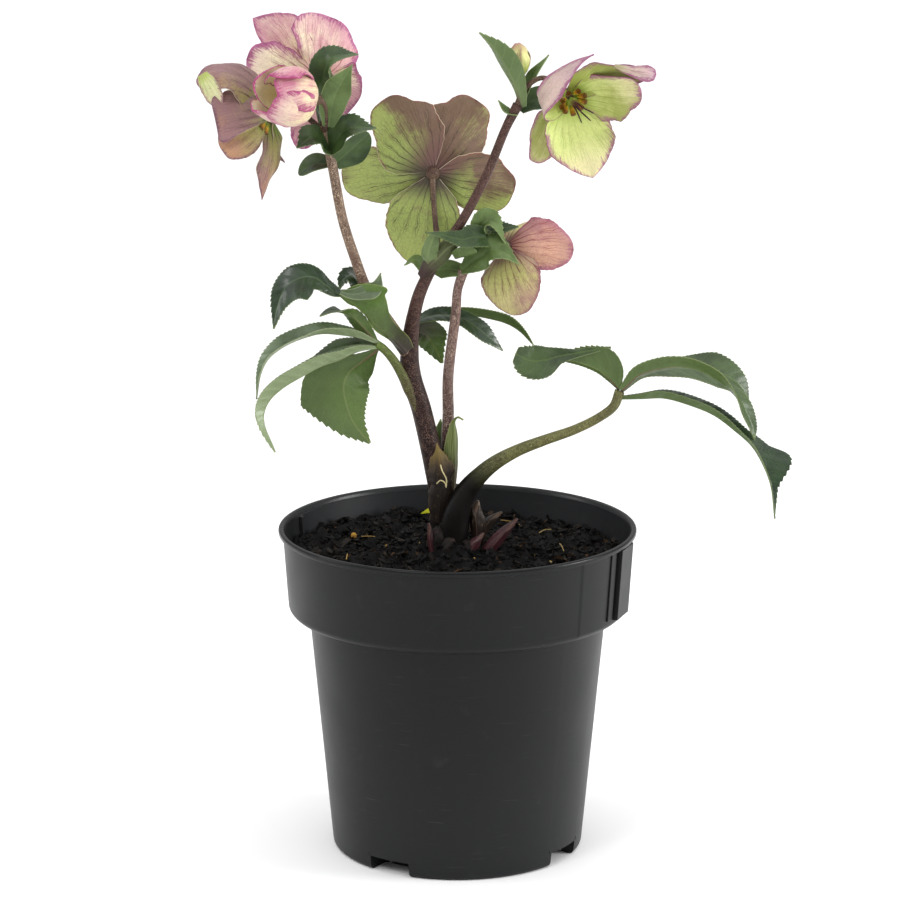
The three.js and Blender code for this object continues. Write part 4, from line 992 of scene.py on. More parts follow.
def stem_skin(name, low, high, fleck, shade, foot=None, foot_ends=(0.1, 0.36)):
    s = Skin(name, 0.42, 0.14)
    place, along = s.place(), s.value("along")
    long = s.stretch(place, (1, 1, 0.6))
    dots = s.noise(long, 3300, 2, 0.5)
    strewn = s.span(s.noise(place, 260, 2), 0.3, 0.65, (0.3, 0.95))
    pits = s.span(s.noise(long, 1700, 2, 0.5), 0.52, 0.62)
    colour = s.coats(
        low, (s.span(along, 0.2, 0.8), high), (s.span(s.noise(long, 90), 0.4, 0.7, (0, 0.5)), shade),
        (s.times(s.span(dots, 0.5, 0.62), strewn), fleck), (s.times(pits, 0.55), shade),
    )
    if foot:
        colour = s.mix(s.span(along, *foot_ends, (1, 0)), colour, foot)
    roughness = s.plus(0.32, s.noise(place, 300, 2), 0.2)
    return s.wear(colour, roughness, s.plus(s.noise(long, 260), dots, 0.6), 0.35)


def streaked_skin(name, base, second, tip, edge, gloss=0.5, foot=None, foot_ends=(0.05, 0.4)):
    """Papery sheaths and bud scales: streaks that run along, a tip of another colour, a pale edge."""
    s = Skin(name, gloss)
    along = s.value("along")
    fibre = s.noise(s.point(s.times(s.value("across"), 7), along, s.value("tone")), 2.2, 4)
    colour = s.coats(base, (s.span(fibre, 0.35, 0.65), second), (s.span(along, 0.45, 1.0, (0, 0.85)), tip))
    if foot:
        colour = s.mix(s.span(along, *foot_ends, (0.95, 0)), colour, foot)
    colour = s.coats(
        colour, (s.span(s.value("edge"), 0.1, 0.5, (0.6, 0)), edge),
        (s.span(s.noise(s.place(), 500, 2), 0.6, 0.72, (0, 0.4)), second),
    )
    return s.wear(colour, s.plus(gloss - 0.1, fibre, 0.2), fibre, 0.5)


def pot_skin():
    """Black plastic with fine scratches, and painted light: paler toward the foot for the light thrown up
    from the floor, and lighter in clouds on the inner wall of the band above the mix, where that wall is in
    shade.
    """
    s = Skin("black_polypropylene", 0.4, 0.2)
    place = s.place()
    x, y, z = s.split(place)
    cloud = s.noise(s.stretch(place, (1, 1, 0.5)), 14, 4)
    scratch = s.noise(s.stretch(place, (3, 3, 60)), 18)
    # Painted light: this marks the inner wall of the band above the mix, which is painted lighter because
    # it lies in shade.
    radius = s.sum("SQRT", s.sum("MULTIPLY_ADD", x, x, s.times(y, y)))
    upright = s.plus(radius, z, band_radius(0) - band_radius(1))
    middle = band_radius(0) - BAND_WALL / 2
    within = s.span(upright, (middle - 0.2) * MM, (middle + 0.1) * MM, (1, 0))
    within = s.times(within, s.span(z, (SOIL_LEVEL - 6) * MM, (SOIL_LEVEL - 2) * MM))
    colour = s.coats(
        s.mix(cloud, "0b0c0d", "121314"),
        (s.times(within, s.span(cloud, 0.3, 0.7, (0.7, 1))), "2b2c2e"),
        # painted light: paler toward the foot, for the light thrown up from the floor
        (s.span(z, 0, 110 * MM, (0.8, 0)), "1b1c1d"),
        (s.span(s.noise(place, 55, 5, 0.65), 0.6, 0.85, (0, 0.12)), "5a5650"),
        (s.span(scratch, 0.66, 0.74, (0, 0.06)), "77777a"),
    )
    polish = s.span(z, (POT_HEIGHT - 3) * MM, (POT_HEIGHT - 1.5) * MM, (0.34, 0.2))
    roughness = s.plus(polish, s.noise(place, 30, 4), 0.16)
    return s.wear(colour, roughness, s.plus(s.noise(place, 1500, 2), scratch, 0.5), 0.12, 0.0003)


def soil_skin():
    s = Skin("bark_and_peat", 0.9, 0.12)
    place, tone, kind = s.place(), s.value("tone"), s.value("kind")
    colour = s.coats(
        s.ramp(tone, (0.0, "0b0a0a"), (0.55, "161413"), (0.9, "25211d"), (1.0, "4a3522")),
        (s.span(s.noise(place, 320, 4), 0.4, 0.7, (0, 0.6)), "060505"),
        (s.span(kind, STRAW - 0.6, STRAW - 0.4), s.mix(s.span(tone, 0.3, 0.8), "8f7644", "b5a878")),
        (s.span(kind, BEAD - 0.6, BEAD - 0.4), "a88038"),
        (s.span(kind, SCRAP - 0.6, SCRAP - 0.4), "a3a41e"),
    )
    fibre = s.noise(s.stretch(place, (1, 2.5, 1)), 600, 4)
    return s.wear(colour, s.span(s.noise(place, 200, 2), 0.3, 0.8, (0.7, 1.0)), fibre, 0.8, 0.001)


def nectary_skin():
    s = Skin("nectary", 0.38, 0.3, Coat_Weight=0.15)
    place = s.place()
    colour = s.ramp(s.value("along"), (0.15, "8f9c2c"), (0.5, "c09a28"), (0.85, "9a6a1e"), (1.0, "5c3a14"))
    colour = s.mix(s.span(s.noise(place, 1500, 2), 0.55, 0.68, (0, 0.6)), colour, "5b3a12")
    return s.wear(colour, height=s.noise(place, 2200, 2), depth=0.3)


def pistil_skin():
    s = Skin("styles", 0.42)
    place = s.place()
    colour = s.ramp(s.value("along"), (0.2, "8fa84a"), (0.42, "7c6a45"), (0.52, "4c2430"), (1.0, "38182a"))
    colour = s.mix(s.span(s.noise(place, 1200, 2), 0.5, 0.7, (0, 0.35)), colour, "5f3440")
    return s.wear(colour, height=s.noise(place, 1800, 2), depth=0.3)


def bud_skin():
    s = Skin("closed_bud", 0.42, Sheen_Weight=0.2)
    along = s.value("along")
    streak = s.noise(s.point(s.times(s.value("vein"), 9), along, 0.4), 1.2, 4)
    colour = s.coats(
        "a4ae52", (s.span(along, 0.1, 0.6), "d4d28c"),
        (s.span(s.plus(s.value("dusk"), streak, 0.5), 0.6, 1.2, (0, 0.85)), "96564e"),
        (s.span(along, 0.6, 1.0, (0, 0.7)), "98605a"),
        (s.span(s.value("edge"), 0.2, 1.0, (0.6, 0)), "a8707a"),
    )
    return s.wear(colour, height=streak, depth=0.3)


def crown_skin():
    s = Skin("rootstock", 0.7, 0.2)
    place = s.place()
    colour = s.mix(s.span(s.noise(place, 160, 4), 0.35, 0.65), "100d0b", "201a17")
    colour = s.mix(s.span(s.noise(place, 300), 0.58, 0.72, (0, 0.5)), colour, "553436")
    return s.wear(colour, 0.7, s.noise(place, 380, 5), 0.9, 0.001)


LEAF_SKINS = dict(  # above, light patches, below, light patches, rib, margin, gloss, coat, veins, foot
    leaf=("2c3a20", "40522e", "3f5226", "5a6f3a", "5f3c34", "8c9562", 0.34, 0.25),
    leaf_dark_gloss=("182818", "283c22", "4a5c34", "5f7244", "5c3c36", "7d8a58", 0.24, 0.5, 0.12),
    leaf_bright=("3c4e28", "54683a", "3a4e1e", "5f7a3a", "38282a", "95a058", 0.34, 0.2, 0.3, 0.7),
    # leaf_pale_painted_sheen is a paler copy of the leaf: partly the blade's own paler face, partly painted
    # sheen from the bright ceiling.
    leaf_pale_painted_sheen=("4a5a3a", "66765a", "6a7a52", "8a9874", "5f4a3c", "98a07c", 0.3, 0.4, 0.12),
    stem_wrap=("3c4426", "505a34", "3e442a", "5a603c", "3a2628", "8a9468", 0.42, 0.1, 0.2, 0.5),
    bract=("46582c", "5d7240", "52663a", "76885a", "5a4440", "8c9a66", 0.42, 0.1, 0.14),
    bract_dark=("283a1e", "40562c", "425428", "5e743e", "50403a", "75835a", 0.36, 0.2, 0.12),
)
STEM_SKINS = dict(  # low, high, flecks, shade, and the foot with its ends along the stem
    stem_main=("1e1212", "4e3834", "7c6054", "150d0d", "17110f", (0.1, 0.19)),
    stem_left=("60443c", "705a4c", "d4bea4", "3c2824"),
    stem_middle=("3a2424", "6c524c", "ccb4a2", "2c1c1c"),
    pedicel=("4c3630", "5f4a3e", "8c7a62", "2c2020"),
    petiole=("565a34", "6c6a42", "9a9c68", "38322a", "141211", (0.3, 0.52)),
    leaf_stalk=("4a3d2e", "566a30", "7f8a52", "4a3c30"),
)
STREAKED_SKINS = dict(  # base, streaks, tip, edge, gloss, and the foot with its ends
    sheath_green=("4f5c2e", "7c8450", "5f7636", "9c9c6c", 0.5, "3c3222"),
    sheath_brown=("281c16", "5a4628", "82703a", "6a5434", 0.5, "17110e", (0.3, 0.75)),
    dry_thread=("c8bc8c", "b0a070", "d2c89c", "c8bc8c"),
    shoot=("341a1e", "4e2c32", "2c2220", "74564e", 0.34),
    shoot_brown=("1c1512", "2e241e", "342a22", "6a5646", 0.38),
)
# The inner and the outer face of a bloom's sepals, each with heart, middle, outer, blotch, its share,
# margin, its width in millimetres, veins, their strength, and the thin rim.
# The blotch colour is partly real blotching and partly painted shade, laid on where a sepal lies in shadow.
LOW_RIGHT_INNER = ("a3ae58", "b8bd7c", "bda888", "ad8080", 0.5, "8a5060", 3, "8c5e58", 0.4, "7c4450")
SEPAL_SKINS = dict(
    centre=(
        ("98a850", "a9b25e", "a8a468", "8d7068", 0.6, "805658", 3, "6d6346", 0.4, "a58a76"),
        ("4c4437", "9ead60", "b6c372", "72504c", 0.9, "84504a", 1.4, "3c3428", 0.85, "d8ccae"),
    ),
    top_right=(
        ("9bb23c", "d2dc8a", "ddd4a4", "98a04a", 0.85, "9a5a80", 3.8, "8c9c44", 0.6, "7b3c5c"),
        ("a9a478", "cbb4a8", "c4a6ac", "a8988a", 0.8, "96587c", 2, "8a5868", 0.65, "854860"),
    ),
    low_right=(
        LOW_RIGHT_INNER,
        ("7a5a50", "cac87e", "d2c88c", "a07474", 0.82, "8f5868", 3, "6a2434", 0.85, "8a5060"),
    ),
    low_right_blush=(
        LOW_RIGHT_INNER,
        ("a87c68", "cda088", "ae8472", "a87478", 0.85, "965a6e", 3.4, "7c2a3a", 0.9, "8a4c60"),
    ),
    opening=(
        # The inner face's near-white heart and middle are painted light, lifting the inside of the cup,
        # which lies in shade.
        ("f4e49a", "faf0c4", "fcf2d0", "f0c8c8", 0.2, "b04079", 1.6, "d8b890", 0.2, "97356a"),
        ("ccd690", "e4d8ac", "dcc2b4", "b84c82", 0.72, "9c2f6c", 4.8, "a04c6c", 0.6, "8a3064"),
    ),
    top_left=(
        ("c4c973", "dfd9a0", "e0c2a8", "cf8fa2", 0.5, "a5527e", 4, "b17f7c", 0.45, "8b4569"),
        ("c8ce80", "efe6c2", "f0dccc", "c8869a", 0.75, "a04880", 4.4, "8c3c48", 0.9, "74365a"),
    ),
    low_left=(
        ("b0bf62", "d0d49c", "dcd6ae", "b59c98", 0.4, "8c5f6a", 2, "8a7e60", 0.45, "9c8a80"),
        ("7c963c", "a49a62", "b48a6a", "8a6870", 0.85, "74505e", 1.8, "503038", 0.85, "b8a888"),
    ),
)


def make_skins():
    skins = dict(pot=pot_skin(), soil=soil_skin(), nectary=nectary_skin(), pistil=pistil_skin())
    skins.update(bud=bud_skin(), crown=crown_skin())
    for make, table in ((leaf_skin, LEAF_SKINS), (stem_skin, STEM_SKINS), (streaked_skin, STREAKED_SKINS)):
        skins.update({name: make(name, *colours) for name, colours in table.items()})
    return skins


# ---- the plant's measures, in millimetres ----

LEAF_PITCH = 2.1  # from tooth to tooth along a leaflet's edge
STEMS = dict(  # paths and their diameters: a stem, then its pedicels
    main=[
        (
            [
                [-6, 0, 158], [-8, 0, 187], [-13, 0, 212], [-19, 0, 239], [-25, 0, 260], [-25, 0, 276],
                [-23, -1, 291], [-19, -2, 305], [-8, -4, 326], [2, -5, 341], [15, -7, 366], [25, -9, 391],
                [31, -10, 403],
            ],
            [15, 12.5, 11, 10.6, 10.8, 9, 7.2, 6.6, 5.4, 5, 4.7, 4.6, 5.4],
        ),
        ([[-10, -3, 323], [-12, 5, 343], [-13, 9, 357], [-13, 12, 364]], [3.6, 2.8, 2.8, 3.4]),
        (
            [[30, -10, 401], [35, -11, 412], [43, -11, 417], [51, -9, 414], [57, -6, 408]],
            [3.6, 2.8, 2.6, 2.8, 3.4],
        ),
        ([[31, -10, 401], [33, -8, 409], [33, -7, 418]], [3.6, 2.8, 3]),
    ],
    left=[
        (
            [
                [-25, 0, 268], [-32, -3, 280], [-38, -5, 290], [-47, -6, 304], [-54, -7, 323],
                [-60, -8, 343], [-65, -9, 371], [-69, -9, 392],
            ],
            [8, 7.6, 6.6, 5.8, 5.4, 5.2, 5.2, 5],
        ),
        ([[-69, -9, 388], [-72, -2, 399], [-73, 5, 408], [-72, 10, 414]], [4, 3.2, 3, 3.4]),
        ([[-69, -9, 388], [-68, -14, 398], [-69, -18, 405], [-72, -20, 408]], [4, 3, 2.8, 3]),
        (
            [[-68, -9, 385], [-76, -4, 394], [-85, -2, 399], [-93, -3, 399], [-97, -4, 396]],
            [4, 3, 2.8, 2.8, 3.4],
        ),
    ],
    middle=[
        (
            [
                [-1, 6, 158], [-5, 8, 188], [-6, 7, 213], [-5, 5, 234], [-5, 3, 257], [-1, 2, 291],
                [0, 1, 304], [3, 0, 314],
            ],
            [9, 7.6, 6.6, 6.2, 5.8, 5.2, 4.8, 5.4],
        ),
        ([[2, 0, 311], [9, 2, 321], [17, 5, 326], [25, 7, 326]], [4.6, 3.2, 3, 3.4]),
    ],
)
# Every leaf's piece carries these skins, and its leaflets name theirs.
FOLIAGE_SKINS = ("leaf", "leaf_dark_gloss", "leaf_bright", "petiole", "leaf_stalk", "leaf_pale_painted_sheen")
STALKS = dict(
    left=(
        [[-19, -2, 234], [-25, -4, 249], [-29, -6, 259], [-34, -7, 268], [-39, -8, 274], [-43, -9, 277]],
        [3, 5.6, 5, 4.4, 4.6],
    ),
    behind=([[-23, 1, 262], [-26, 8, 273], [-25, 11, 281], [-23, 11, 286]], [3, 5, 4.4, 4.6]),
    right=(
        [
            [-3, -4, 158], [-2, -5, 178], [0, -6, 187], [5, -7, 197], [12, -9, 206], [20, -10, 213],
            [32, -11, 220], [46, -13, 226], [62, -14, 232], [75, -15, 239], [82, -16, 245], [85, -16, 253],
        ],
        [16, 16.5, 14.5, 11.4, 9, 7.8, 6.4, 5.6, 5, 4.8, 5, 5.4],
    ),
)
LEAVES = dict(
    left=[
        dict(
            skin="leaf",
            path=[
                [-42, -9, 276], [-48, -9, 284], [-55, -10, 292], [-62, -12, 295], [-67, -14, 295],
                [-72, -16, 293],
            ],
            up=[[-0.5, 0.7, 0.5], [-0.3, 0.8, 0.5], [0, -0.2, 1], [-0.2, -0.4, 0.9]],
            left=[1.5, 4.5, 5, 5, 5], fold=14,
        ),
        dict(
            skin="leaf_pale_painted_sheen",
            path=[
                [-41, -9, 277], [-51, -11, 281], [-60, -13, 283], [-71, -15, 284], [-81, -17, 282],
                [-91, -20, 278], [-99, -23, 272], [-103, -25, 264], [-105, -27, 251],
            ],
            up=[[0, 0.1, 1], [0, 0, 1], [-0.1, -0.4, 0.9], [-0.7, -0.5, 0.4], [-0.8, -0.5, 0.1]],
            left=[1.4, 6, 7, 6.5, 6.5, 6.5, 5], fold=42,
        ),
        dict(
            skin="leaf_pale_painted_sheen",
            path=[
                [-41, -9, 275], [-52, -12, 274], [-62, -15, 270], [-72, -18, 267], [-82, -21, 262],
                [-91, -24, 257], [-98, -27, 251], [-101, -29, 245], [-101, -31, 239], [-95, -33, 224],
            ],
            up=[[0, 0.1, 1], [-0.1, 0.2, 1], [-0.4, 0.2, 0.8], [-1, 0.1, 0.2]],
            left=[1.6, 6, 8, 8.5, 8.5, 8, 6], tip="round", fold=50,
        ),
        dict(
            skin="leaf",
            path=[
                [-42, -9, 274], [-51, -8, 267], [-57, -8, 262], [-60, -9, 255], [-59, -11, 247],
                [-55, -13, 236], [-46, -16, 225],
            ],
            up=[[-0.2, 0.95, 0.3], [0, 1, 0.1]], left=[1, 6, 13, 22, 25, 22, 16],
            right=[1, 11.5, 15, 14.5, 14, 14, 11], fold=8, curl=8,
        ),
        dict(
            skin="leaf", path=[[-42, -7, 276], [-54, -3, 275], [-65, 0, 272], [-79, 3, 265]],
            up=[[0, -0.7, 0.75]], left=[1.4, 5, 6, 4.5], fold=8,
        ),
    ],
    upper_left=[
        dict(
            skin="leaf_bright",
            path=[
                [-27, -7, 272], [-33, -9, 279], [-42, -10, 287], [-49, -11, 294], [-55, -13, 300],
                [-62, -13, 304],
            ],
            up=[[0.3, 0.9, 0.3], [0.3, 0.8, 0.4]], left=[5, 7, 8.5, 10, 14, 21, 13, 3],
            right=[4, 4, 2.5, 2, 2, 2, 2, 1.5], tip="blunt", fold=4, curl=14, wave=[2.4, 4], pitch=0,
        ),
        dict(
            skin="leaf_dark_gloss",
            path=[
                [-57, -12, 303], [-63, -12, 304], [-68, -12, 308], [-75, -13, 313], [-82, -15, 313],
                [-89, -17, 309], [-93, -18, 301], [-96, -20, 287],
            ],
            up=[[0, -0.3, 1], [-0.1, -0.7, 0.7], [-0.4, -0.8, 0.4], [-0.6, -0.7, 0.2]],
            left=[2, 3, 6, 13, 16, 18, 10], right=[2, 4, 5, 7, 9.5, 11, 8], fold=8, curl=10, wave=[1.6, 5],
            pitch=1.6,
        ),
        dict(
            skin="leaf_dark_gloss",
            path=[[-53, -10, 302], [-52, -7, 308], [-56, -4, 312], [-60, -3, 310], [-62, -4, 305]],
            up=[[-0.5, -0.6, 0.6], [0.2, -0.7, 0.7], [-0.3, -0.8, 0.5]], left=[3, 5, 5.5, 5, 3], fold=14,
            curl=24,
        ),
        dict(
            skin="leaf_pale_painted_sheen",
            path=[[-61, -17, 306], [-55, -18, 305], [-49, -18, 306], [-43, -17, 309], [-40, -16, 316]],
            up=[[0.1, -0.9, 0.4], [0.2, -0.9, 0.3]], left=[1.5, 3, 4, 4.5, 3], right=[1.5, 3, 4.5, 6.5, 4],
            fold=16, curl=16, pitch=0,
        ),
    ],
    behind=[
        dict(
            skin="leaf_bright", path=[[-24, 11, 282], [-17, 13, 278], [-13, 15, 272], [-8, 18, 261]],
            up=[[0.2, 0.9, 0.3]], left=[2, 6, 8, 10, 10], right=[2, 9, 10, 8, 6], fold=10, curl=8,
        ),
        dict(
            skin="leaf_dark_gloss",
            path=[
                [-24, 10, 284], [-15, 10, 288], [-6, 9, 289], [2, 9, 287], [10, 9, 282], [17, 10, 276],
                [24, 12, 269],
            ],
            up=[[0, -0.6, 0.8], [0.2, -0.7, 0.7]], left=[1.6, 5, 5.5, 6, 8.5, 6], fold=10,
        ),
        dict(
            skin="leaf",
            path=[
                [-24, 13, 284], [-9, 18, 288], [4, 23, 287], [16, 28, 284], [27, 32, 280], [34, 35, 275],
                [41, 37, 267],
            ],
            up=[[0, 0.4, 0.9], [0.3, 0.6, 0.8], [0.6, 0.5, 0.5]], left=[1.6, 5, 6, 6, 6], fold=26,
        ),
    ],
    right=[
        dict(
            skin="leaf",
            path=[
                [85, -16, 254], [80, -17, 260], [74, -18, 265], [67, -18, 268], [59, -18, 270],
                [52, -18, 271],
            ],
            up=[[0.5, 0.8, 0.3], [0.3, 0.9, 0.3], [0.1, 0.95, 0.3]], left=[1.5, 10, 13.5, 11, 7, 4],
            right=[1.5, 3, 3, 2.5, 2, 2], tip="blunt", fold=8, curl=8,
        ),
        dict(
            skin="leaf",
            path=[
                [80, -19, 277], [72, -20, 276], [63, -21, 274.5], [53, -22, 273], [45, -23, 271],
                [38, -24, 271], [30, -26, 275],
            ],
            up=[[0, -0.9, 0.4], [0, -0.95, 0.3], [-0.1, -0.95, 0.3]], left=[0.6, 1.6, 2.5, 5, 10, 11, 10],
            right=[0.6, 1.6, 2.5, 5, 8, 9.5, 9], tip="blunt", fold=8, curl=8, wave=[1, 4],
        ),
        dict(
            skin="leaf",
            path=[
                [86, -17, 254], [95, -19, 263], [106, -21, 267], [119, -23, 268], [130, -25, 265],
                [139, -26, 259], [146, -27, 252], [151, -28, 243], [154, -29, 236], [155, -30, 230],
            ],
            up=[[0, 0.7, 0.7], [0, 0.7, 0.7], [0.2, 0.4, 0.9], [0.5, -0.5, 0.7], [0.5, -0.85, 0.2]],
            left=[2, 6, 7, 7, 7, 7.5, 8.5, 8, 5], fold=14, curl=6,
        ),
        dict(
            skin="leaf",
            path=[
                [86, -14, 253], [96, -8, 261], [113, -3, 262], [127, 1, 261], [140, 4, 258], [150, 6, 251],
                [155, 8, 242],
            ],
            up=[[0, -0.4, 0.9], [0.1, -0.6, 0.8], [0.5, -0.7, 0.5]], left=[2, 6, 8, 12, 13, 8], fold=10,
        ),
        dict(
            skin="leaf_dark_gloss",
            path=[
                [84, -15, 249], [96, -18, 250], [108, -21, 251], [121, -24, 248], [134, -27, 243],
                [145, -29, 235], [154, -31, 227], [160, -33, 217], [164, -35, 206], [166, -36, 189],
            ],
            up=[[0, 0.1, 1], [0.1, 0.1, 1], [0.5, 0, 0.8], [0.8, -0.4, 0.4], [0.6, -0.8, 0.1]],
            left=[2, 4, 6, 7, 7, 7, 6, 9, 20, 6, 1.6], right=[2, 4, 6, 6, 6, 5, 4, 3.5, 3, 2.5, 1.5],
            tip="round", fold=40,
        ),
    ],
)

BRACTS = dict(
    top_right_tall=dict(
        path=[[33, -10, 402], [31, -13, 411], [26, -16, 422], [19, -17, 433], [11, -16, 441]],
        up=[[0.5, 0.7, 0], [0.5, 0.6, 0.4]], left=[3, 5, 8, 7.5, 5], fold=30, pitch=3.2, tooth=0.2,
    ),
    top_right_narrow=dict(
        path=[[34, -9, 405], [38, -6, 415], [47, -3, 428]], up=[[-0.6, -0.4, 0.4], [-0.5, -0.4, 0.6]],
        left=[2.4, 4.5, 4.5, 3], fold=24,
    ),
    top_right_low=dict(
        path=[[32, -7, 400], [38, -4, 404], [44, -2, 405], [50, 0, 400]],
        up=[[0, -0.8, 0.5], [0.2, -0.8, 0.6]], left=[3, 6, 7, 5], fold=10,
    ),
    top_right_small=dict(
        path=[[31, -11, 398], [26, -10, 399], [21, -8, 405]], up=[-0.1, -0.4, 1], left=[1.8, 2.6, 2.4],
        fold=26,
    ),
    top_left_dark=dict(
        path=[[-70, -6, 392], [-70, -6, 414], [-65, -12, 427], [-51, -18, 430]],
        up=[[0.5, -0.8, 0.2], [-0.1, -0.8, 0.6], [-0.1, -0.3, 0.9]], left=[2.5, 6, 9, 9, 6],
        right=[3, 8, 14, 13, 6], fold=14, pitch=LEAF_PITCH,
    ),
    top_left_green=dict(
        path=[[-67, -12, 392], [-63, -18, 409], [-54, -19, 425]], up=[[0.2, -0.95, 0.2]],
        left=[3, 7, 7.5, 4], fold=12,
    ),
    collar_left=dict(
        path=[[-66, -12, 379], [-74, -17, 387], [-83, -20, 382]], up=[[-0.1, -0.5, 0.9], [-0.4, -0.5, 0.8]],
        left=[5, 10, 10, 5], fold=12, pitch=LEAF_PITCH,
    ),
    collar_right=dict(
        path=[[-66, -12, 380], [-57, -16, 391], [-42, -18, 392]], up=[[0, -0.7, 0.7], [0.2, -0.5, 0.9]],
        left=[5, 9, 9, 5], fold=16, pitch=LEAF_PITCH,
    ),
    collar_low_left=dict(
        path=[[-66, -6, 372], [-75, -4, 371], [-83, -2, 366]], up=[[-0.2, -0.5, 0.9]], left=[4, 8, 7.5],
        fold=10, tip="round",
    ),
    collar_low_right=dict(
        path=[[-64, -9, 372], [-55, -9, 380], [-46, -7, 388]], up=[[0.5, -0.85, 0.1], [0.3, -0.9, -0.2]],
        left=[4, 6, 6], right=[4, 9, 8], tip="round", fold=6, curl=20,
    ),
    middle_dark=dict(
        path=[
            [15, -9, 333], [8, -12, 334], [3, -13, 333], [-3, -13, 334], [-11, -14, 336], [-17, -14, 337],
        ],
        up=[[0, -0.75, 0.65]], left=[6.5, 7.5, 6, 4, 2.4, 1.6], fold=10, curl=8, pitch=LEAF_PITCH,
    ),
    middle_tall=dict(
        path=[[8, -3, 325], [13, -4, 340], [18, -6, 341], [25, -9, 330]],
        up=[[0.1, -0.9, 0.3], [0.9, -0.3, 0.5]], left=[3, 7, 8, 5], fold=14, pitch=LEAF_PITCH,
    ),
    middle_far=dict(
        path=[[6, 3, 320], [18, 5, 334], [32, 4, 337]], up=[[0, -0.6, 0.8]], left=[3, 7, 6, 4], fold=10,
        pitch=LEAF_PITCH,
    ),
    middle_right=dict(
        path=[[2, -4, 315], [9, -8, 321], [17, -11, 327], [24, -13, 326], [32, -14, 320]],
        up=[[0.1, -0.7, 0.7], [0.6, -0.6, 0.6]], left=[3, 8, 10, 8, 4], fold=12, pitch=3.2, tooth=0.3,
    ),
    middle_pouch=dict(
        path=[[-1, -8, 323], [3, -13, 325], [10, -14, 327]], up=[[0.1, 0.6, 0.8], [0.1, 0.7, 0.6]],
        left=[3.4, 5, 5], tip="round", fold=8, curl=36,
    ),
    middle_left=dict(
        path=[[-16, 1, 312], [-22, 5, 319], [-28, 7, 316]], up=[[-0.2, -0.3, 0.9]], left=[2.5, 4, 4],
        fold=14,
    ),
    middle_wing=[
        dict(
            path=[[-15, -8, 318], [-15, -10, 326], [-12, -11, 335]], up=[[0.3, 0.9, 0.2]],
            left=[3, 4.5, 4.5, 4], tip="blunt", fold=14, curl=20, wave=[1.2, 4],
        ),
        dict(
            path=[[-19, -7, 312], [-15, -9, 318], [-10, -9, 323], [-5, -9, 328], [2, -9, 332]],
            up=[[0.2, 1, 0.2]], left=[3, 5, 6, 5, 3], tip="blunt", curl=54, fold=8,
        ),
    ],
    middle_low=dict(
        path=[[2, 1, 314], [-6, 5, 314], [-14, 8, 312]], up=[[0, -0.7, 0.7]], left=[4, 6, 5], fold=6,
    ),
)
DARK_BRACTS = [
    "top_right_low", "top_left_dark", "collar_left", "collar_right", "collar_low_left", "collar_low_right",
    "middle_dark", "middle_far", "middle_pouch",
]

SHEATHS = dict(
    green=dict(
        path=[
            [-3, 0, 195], [-2, 0, 208], [-2, 0, 218], [-2, 0, 226], [-2, -1, 233], [0, -3, 236],
            [3, -5, 235],
        ],
        up=[[-0.7, 0.8, 0]], left=[5, 6, 5.5, 4, 1.8, 1.4, 1], fold=10, curl=44,
    ),
    behind=dict(
        path=[[-9, 13, 196], [-10, 14, 216], [-9, 15, 231]], up=[[0, -1, 0]], left=[5, 6, 4], curl=40,
    ),
    brown=dict(
        path=[[-10, -8, 180], [-9, -10, 198], [-9, -10, 209], [-10, -9, 217], [-11, -7, 223]],
        up=[[0, 1, 0.1]], left=[6.5, 7, 7.5, 5, 2], fold=6, curl=56, ragged=0.1,
    ),
)
SHEATH_SKINS = dict(green="sheath_green", behind="leaf_bright", brown="sheath_brown")
DRY_THREADS = [
    [[-9, -15, 213], [-8, -17, 210], [-6, -17, 206], [-6, -16, 202]],
    [[-11, -16, 203], [-9, -17, 205], [-7, -17, 204], [-6, -16, 201]],
]
SHOOTS = dict(
    tall=(
        [[11, -3, 160], [11, -4, 170], [11, -4, 178], [10, -4, 185], [11, -4, 191]], [4, 6.5, 8.4, 7, 1.2],
    ),
    far=([[9, 3, 160], [13, 4, 171], [18, 5, 178], [24, 6, 182]], [4.5, 5, 4.6, 0.9]),
    long=([[11, -8, 160], [17, -9, 166], [25, -9, 175], [32, -9, 182]], [5, 6.4, 5.4, 0.9]),
    small=([[5, -11, 160], [9, -12, 169], [14, -12, 175]], [5, 5.6, 1]),
    left=([[-11, -8, 157], [-14, -10, 170], [-15, -10, 180]], [3.6, 3.8, 1]),
)
CROWN = dict(at=[-2, -1, 158], radii=[13, 12, 15])
# Each knob of the crown: x, y, z, radius, rise.
CROWN_KNOBS = [[-10, -8, 169, 5, 9], [-4, -12, 166, 5, 7], [5, -11, 165, 5, 6], [-13, -6, 166, 4, 6]]

